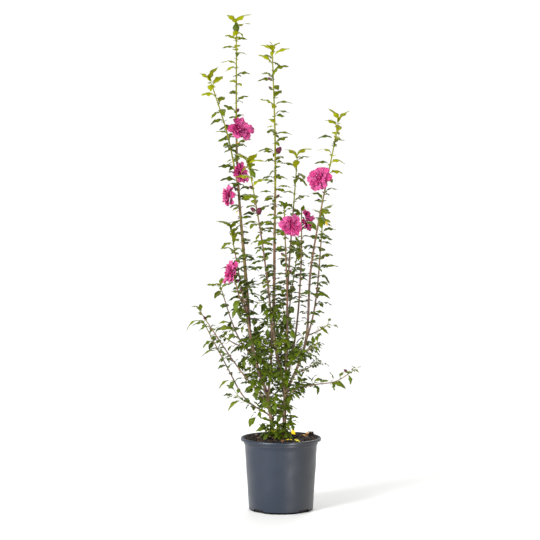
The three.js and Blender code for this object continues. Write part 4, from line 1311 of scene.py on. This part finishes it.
def rolledBud(foot, direction, length, radius, twist, tints, calyx, seed):
    # A closed bloom or a bud: a spindle with turning ribs; the first share of it is calyx
    sides, names = budShape["sides"], list(petalMaterials)
    steps = np.linspace(0, 1, budShape["steps"])
    much, start, blunt = budShape["outline"]
    profile = np.sin(np.pi * np.clip(steps * much + start, 0, 1)) ** blunt
    ribs, ribHeight = budShape["ribs"]
    relief = 1 + ribHeight * np.sin(ribs * around(sides)[None] + twist * steps[:, None] + seed)
    path = foot[None] + direction[None] * (steps * length)[:, None]
    points, faces = tube(path, radius * profile, sides, relief)
    isCalyx = steps[np.minimum(np.arange(len(faces)) // sides, len(steps) - 1)] < calyx
    return points, faces, np.where(isCalyx, names.index(tints[0]), names.index(tints[1]))


def stalk(root, end, kind):
    step, sides = budShape["stalkMesh"]
    path = pathThrough([root, (root + end) / 2 + up * budShape["stalkRise"], end], step)
    radii = np.full(len(path), budShape["stalks"][kind])
    return *tube(path, radii, sides), list(petalMaterials).index("budGreen")


def budPlaces():
    # Where the rule sets a bud, with its direction, its size and its chance of a tint
    found = []
    low, high, chance = budShape["zone"]
    out, rise = budShape["rise"]
    for number, axis in enumerate(axes):
        last = len(axis["path"]) - 1
        for node in range(1, last if axis["isShoot"] else 0):
            if low <= node / last <= high and roll(number, node, 11) <= chance:
                direction = unit(wayAt(roll(number, node, 12) * fullTurn) * out + up * rise)
                root, half = axis["path"][node], budShape["size"][0] / 2
                centre = root + direction * (budShape["reach"] + half)
                if keepsToSpace(np.array([centre, centre + direction * half]), axis):
                    found.append((root, direction, budShape["size"], roll(number, node, 13)))
    root, direction, size = budShape["low"]
    return [*found, (np.array(root), unit(np.array(direction)), size, 0.0)]


def makeBlossom():
    patches = []
    closed = budShape["closed"]
    for seed, bloom in enumerate(blooms):
        direction, diameter, stage = bloom["direction"], bloom["diameter"], bloom["stage"]
        foot = bloom["centre"] - direction * diameter * budShape["bloomFoot"][stage]
        if stage == "open":
            patches.extend(openBloom(bloom, seed))
        else:
            length, radius = diameter * closed["length"], diameter * closed["radius"]
            patches.append(rolledBud(foot, direction, length, radius, closed["twist"],
                                     ("budGreen", "petalSpent"), closed["calyx"], seed))
        patches.append(stalk(bloom["root"], foot, stage))
    for seed, (root, direction, (length, radius), chance) in enumerate(budPlaces()):
        foot = root + direction * (budShape["reach"] - budShape["sunk"])
        tip = next(tint for below, tint in budShape["tips"] if chance < below)
        patches.append(rolledBud(foot, direction, length + budShape["sunk"], radius, budShape["twist"],
                                 ("budGreen", tip), budShape["calyx"], seed))
        patches.append(stalk(root, foot, "bud"))
    masses = sorted({axes[numberOf(bloom["on"])]["mass"] for bloom in blooms})
    makePiece("blossom", patches, list(petalMaterials.values()), masses)


potShape = {
    "segments": 144,
    "dentMm": 0.35,
    "dentWaves": [(0.05, 3, 1), (0, 5, 2), (0.09, -7, 0)],   # up and round the wall
    "fineDents": 0.6,
    "dented": ((6, 30, 205, 221), (0, 1, 1, 0)),   # heights, and how much the wall is dented there
    "sharpAngle": 38,
    "paintedShadowBelow": 6.0,        # the shadow under the foot is painted on below this height
    "dustedAndShaded": ((121.5, 221), (130.6, 240)),   # within these reaches and above these heights the mix dulls it, and shade is painted darker
    "wallSteps": 14,
    # radius and height of each point: the foot, the neck and rim, the floor inside; walls run between them
    "foot": [(0, 0), (98, 0), (103.5, 0.4), (106.4, 2.2), (107.6, 5), (107.8, 6.4)],
    "outside": ((108, 8), (121.4, 220)),
    "rim": [(121.4, 219.8), (121.7, 220.6), (123.4, 221.3), (124.0, 222.2), (124.1, 223.4), (124.1, 235.6),
            (125.0, 236.6), (131.4, 236.6), (132.3, 235.8), (132.4, 233.6), (133.0, 233.0), (134.2, 233.3),
            (134.9, 234.4), (135.0, 236.5), (134.9, 239.4), (134.2, 241.6), (132.6, 242.8), (130.4, 243),
            (124.2, 242.6), (122.2, 241.8), (121.0, 240.2)],
    "inside": ((119.4, 222), (105.6, 8)),
    "floor": [(105.6, 8), (103.4, 3.2), (101, 2.6), (0, 2.6)],
    # headings in degrees, width, depth and height: the four drain notches, and small scallops between them
    "notches": [
        ((45, 135, 225, 315), 42, 18, 11),
        ([side + shift for side in (0, 90, 180, 270) for shift in (-24, -12, 0, 12, 24)], 15, 12, 4),
    ],
}
boxCorners = np.array([(a, b, c) for a in (-1, 1) for b in (-1, 1) for c in (-1, 1)], float)
boxFaces = np.array([(0, 1, 3, 2), (4, 6, 7, 5), (0, 4, 5, 1), (2, 3, 7, 6), (0, 2, 6, 4), (1, 5, 7, 3)])


def wallPoints(ends):
    # The points of a wall in even steps, without its last one
    (lowReach, lowHeight), (highReach, highHeight) = ends
    shares = np.arange(potShape["wallSteps"]) / potShape["wallSteps"]
    return np.stack([mix(lowReach, highReach, shares), mix(lowHeight, highHeight, shares)], axis=1)


def cutNotches(pot):
    corners, faces = [], []
    for headings, width, depth, height in potShape["notches"]:
        for heading in headings:
            box = boxCorners * (depth / 2, width / 2, height) + (potShape["outside"][0][0], 0, 0)
            faces.extend((boxFaces + len(corners)).tolist())
            corners.extend((turned(box, up, math.radians(heading)) * millimetre).tolist())
    mesh = bpy.data.meshes.new("drainNotches")
    mesh.from_pydata(corners, [], faces)
    cutter = addObject("drainNotches", mesh)
    cut = pot.modifiers.new("notches", "BOOLEAN")
    cut.operation, cut.object, cut.solver = "DIFFERENCE", cutter, "EXACT"
    shape = bpy.data.meshes.new_from_object(pot.evaluated_get(bpy.context.evaluated_depsgraph_get()))
    pot.modifiers.clear()
    pot.data = shape
    bpy.data.objects.remove(cutter)


def makePot():
    shape, turn = potShape, around(potShape["segments"])
    profile = np.concatenate([shape["foot"], wallPoints(shape["outside"]), shape["rim"],
                              wallPoints(shape["inside"]), shape["floor"]])
    height = profile[:, 1][:, None]
    broad, lobes, fine = waves(shape["dentWaves"], height, turn)
    dents = broad * lobes + fine * shape["fineDents"]
    reach = profile[:, 0][:, None] + dents * np.interp(height, *shape["dented"]) * shape["dentMm"]
    patch = (rings(reach, height, turn), gridFaces(len(profile), len(turn), closed=True), 0)
    materials = [potMaterial, dustAndShadeMaterial, footShadowMaterial]
    pot = makePiece("nurseryPot", [patch], materials, ["pot"])
    cutNotches(pot)
    pot.data.set_sharp_from_angle(angle=math.radians(shape["sharpAngle"]))
    for face in pot.data.polygons:
        x, y, z = face.center / millimetre
        inLip = any(math.hypot(x, y) < reach and z > height for reach, height in shape["dustedAndShaded"])
        # the lowest faces take the painted shadow of the foot, and those in the lip the dulled plastic with
        # painted shade
        face.material_index = 2 if z < shape["paintedShadowBelow"] else int(inLip)


soilShape = {
    "rings": 34,
    "segments": 110,
    "reach": (0.5, 118.5),
    "under": [(104.5, 8), (102, 3.2), (0.5, 3.1)],
    "heap": ((0, 48, 70, 90, 106, 118), (234, 236, 238, 238.5, 238, 237)),   # height by reach
    "lumps": 1.1,
    "lumpWaves": [(0.11, 0, 1.3), (0, 0.13, 0), (0.21, 0.21, 0.7)],
    "crumbs": 0.9,
    "crumbWaves": [(0.43, 0.31, 0), (0.27, -0.52, 2), (0.83, 0.77, 1)],
    "level": (49, 10),        # smooth within this reach, and lumpy from this much beyond it
    "clod": (106, 44, 17),    # one that stands up beside the wall: place and height
    "clodReach": (13, 16),
    "seed": 7,
    "chips": 900,
    "chipReach": 117,
    "chipLength": (4, 26),
    "chipWidth": (2.5, 7),
    "chipThick": (1.4, 4),
    "chipUneven": (0.65, 1.2),
    "chipTilt": 0.3,
    "chipLift": 0.35,
    "fewLong": 2.2,           # a higher power leaves fewer long ones
    "chipTints": [0, 0, 1, 1, 2, 3],
}


def soilHeight(x, y):
    # The part's lumps, with finer ones over them
    reach = np.hypot(x, y)
    lump, fine = (sum(waves(soilShape[key], x, y)) for key in ("lumpWaves", "crumbWaves"))
    clodX, clodY, clodRise = soilShape["clod"]
    wide, deep = soilShape["clodReach"]
    clod = clodRise * np.exp(-(((x - clodX) / wide) ** 2 + ((y - clodY) / deep) ** 2))
    level, beyond = soilShape["level"]
    lumpy = np.clip((reach - level) / beyond, 0, 1) * soilShape["lumps"]
    return np.interp(reach, *soilShape["heap"]) + lumpy * lump + fine * soilShape["crumbs"] + clod


def makeChips(random):
    spread = lambda name: random.uniform(*soilShape[name])
    patches = []
    for _ in range(soilShape["chips"]):
        reach, turn = soilShape["chipReach"] * math.sqrt(random.random()), random.uniform(0, fullTurn)
        x, y, _ = wayAt(turn) * reach
        length = mix(*soilShape["chipLength"], random.random() ** soilShape["fewLong"])
        size = np.array([length, spread("chipWidth"), spread("chipThick")])
        chip = boxCorners * size / 2 * random.uniform(*soilShape["chipUneven"], (8, 3))
        spin, tilt = random.uniform(0, math.pi), random.normal(0, soilShape["chipTilt"])
        place = np.array([x, y, soilHeight(x, y) + size[2] * soilShape["chipLift"]])
        chip = turned(turned(chip, front, tilt), up, spin) + place
        patches.append((chip, boxFaces, random.choice(soilShape["chipTints"])))
    makePiece("barkChips", patches, chipMaterials, smooth=False)


def makeSoil():
    angles = around(soilShape["segments"])
    reaches = np.linspace(*soilShape["reach"], soilShape["rings"])[:, None]
    top = rings(reaches, soilHeight(reaches * np.cos(angles), reaches * np.sin(angles)), angles)
    under = [rings(reach, height, angles) for reach, height in soilShape["under"]]
    grid = np.concatenate([top, np.array(under)])
    patch = (grid, gridFaces(len(grid), len(angles), closed=True), 0)
    makePiece("pottingMix", [patch], [mixMaterial], ["soil"])
    makeChips(np.random.default_rng(soilShape["seed"]))


fallenLook = {"roughness": 0.6, "ior": 1.4, "tints": {
    "fallenYellow": "#D8CC1A", "fallenOrange": "#D2921E", "fallenBrown": "#6B4A2C", "fallenDark": "#3A2010"}}
# Dropped leaf: it dries from yellow to brown and loses its gloss
fallenMaterials = list(tintMaterials(fallenLook).values())
# Leaves that have dropped on the mix: place, heading in degrees, length and tint
fallen = [
    ((42, -80), 178, 30, 0), ((44, -82), 318, 26, 0), ((42, -78), 40, 24, 0), ((64, 20), 10, 28, 1),
    ((103, 40), 197, 30, 1), ((-84, 36), 80, 30, 2), ((12, -88), 250, 28, 2), ((72, -10), 340, 30, 3),
    ((-66, -40), 150, 26, 2),
]
fallenShape = {"seed": 60, "lift": 2.6, "tipRise": 0.08, "breadth": 0.62}


def makeFallenLeaves():
    # Each lies on the mix under its two ends
    patches = []
    for seed, ((x, y), heading, length, tint) in enumerate(fallen):
        way = wayAt(math.radians(heading))
        foot, tip = soilHeight(x, y), soilHeight(x + way[0] * length, y + way[1] * length)
        along = unit(way + up * ((tip - foot) / length + fallenShape["tipRise"]))
        root = np.array([x, y, foot + fallenShape["lift"]])
        leaf = newLeaf(root, along, length, length * fallenShape["breadth"], 0)
        patches.append((*leafPatch([leaf], fallenShape["seed"] + seed), tint))
    makePiece("fallenLeaves", patches, fallenMaterials)


makePot()
makeSoil()
makeFallenLeaves()
print("pot and mix made")
makeBark()
makeTwigs()
print("wood made")
makeLeaves()
makeBlossom()
print("leaves and blossom made")

studio = {
    "floor": {"colour": "#F6F6F4", "roughness": 0.9, "ior": 1.4, "reach": 2.6, "sides": 96},
    "sky": {"From Min": 0.3, "From Max": 0.6, "To Min": 1.05, "To Max": 0.3},   # white below, dimmer overhead
    "lamps": [  # place, width, height and watts of each soft box, all aimed at the plant
        ((-2.9, -3.2, 2.3), 1.6, 3.4, 315),
        ((2.5, -4.1, 0.55), 0.2, 1.05, 130),
        ((0.5, 2.8, 3.4), 2.2, 2.2, 110),
    ],
    "aim": (0.0, 0.0, 0.8),
    "camera": {"place": (-0.0367, -5.5, 1.05), "pitch": 2.57, "lens": 110, "sensor": 36},
}


def makeFloor():
    # Matt card: pale, with no shine, so that it only takes a soft shadow
    look = studio["floor"]
    mesh = bpy.data.meshes.new("floor")
    rim = rings(look["reach"], 0, around(look["sides"]))
    mesh.from_pydata(rim.tolist(), [], [list(range(len(rim)))])
    mesh.materials.append(newMaterial("mattCard", look["colour"], look["roughness"], look["ior"]))
    floor = addObject("floor", mesh)


def makeSky():
    world = bpy.data.worlds.new("studio")
    world.use_nodes = True
    tree = world.node_tree
    place = addNode(tree, "TexCoord", "Generated", {})
    height = addNode(tree, "SeparateXYZ", "Z", {"Vector": place})
    strength = addNode(tree, "MapRange", "Result", {"Value": height, **studio["sky"]})
    setInputs(tree, tree.nodes["Background"], {"Strength": strength, "Color": (1, 1, 1, 1)})
    bpy.context.scene.world = world


def makeLamps():
    for i, (place, width, height, watts) in enumerate(studio["lamps"]):
        lamp = bpy.data.lights.new("softBox%d" % (i + 1), "AREA")
        lamp.shape, lamp.size, lamp.size_y, lamp.energy = "RECTANGLE", width, height, watts
        box = addObject(lamp.name, lamp)
        aim = unit(np.array(studio["aim"]) - np.array(place))
        box.location = place
        box.rotation_euler = (math.acos(-aim[2]), 0, math.atan2(-aim[0], aim[1]))


def makeCamera():
    settings = studio["camera"]
    camera = bpy.data.cameras.new("camera")
    camera.lens, camera.sensor_width = settings["lens"], settings["sensor"]
    holder = addObject("camera", camera)
    holder.location = settings["place"]
    holder.rotation_euler = (math.radians(90 - settings["pitch"]), 0, 0)
    bpy.context.scene.camera = holder
    bpy.context.scene.view_settings.view_transform = "Standard"


makeFloor()
makeSky()
makeLamps()
makeCamera()
print("studio made")
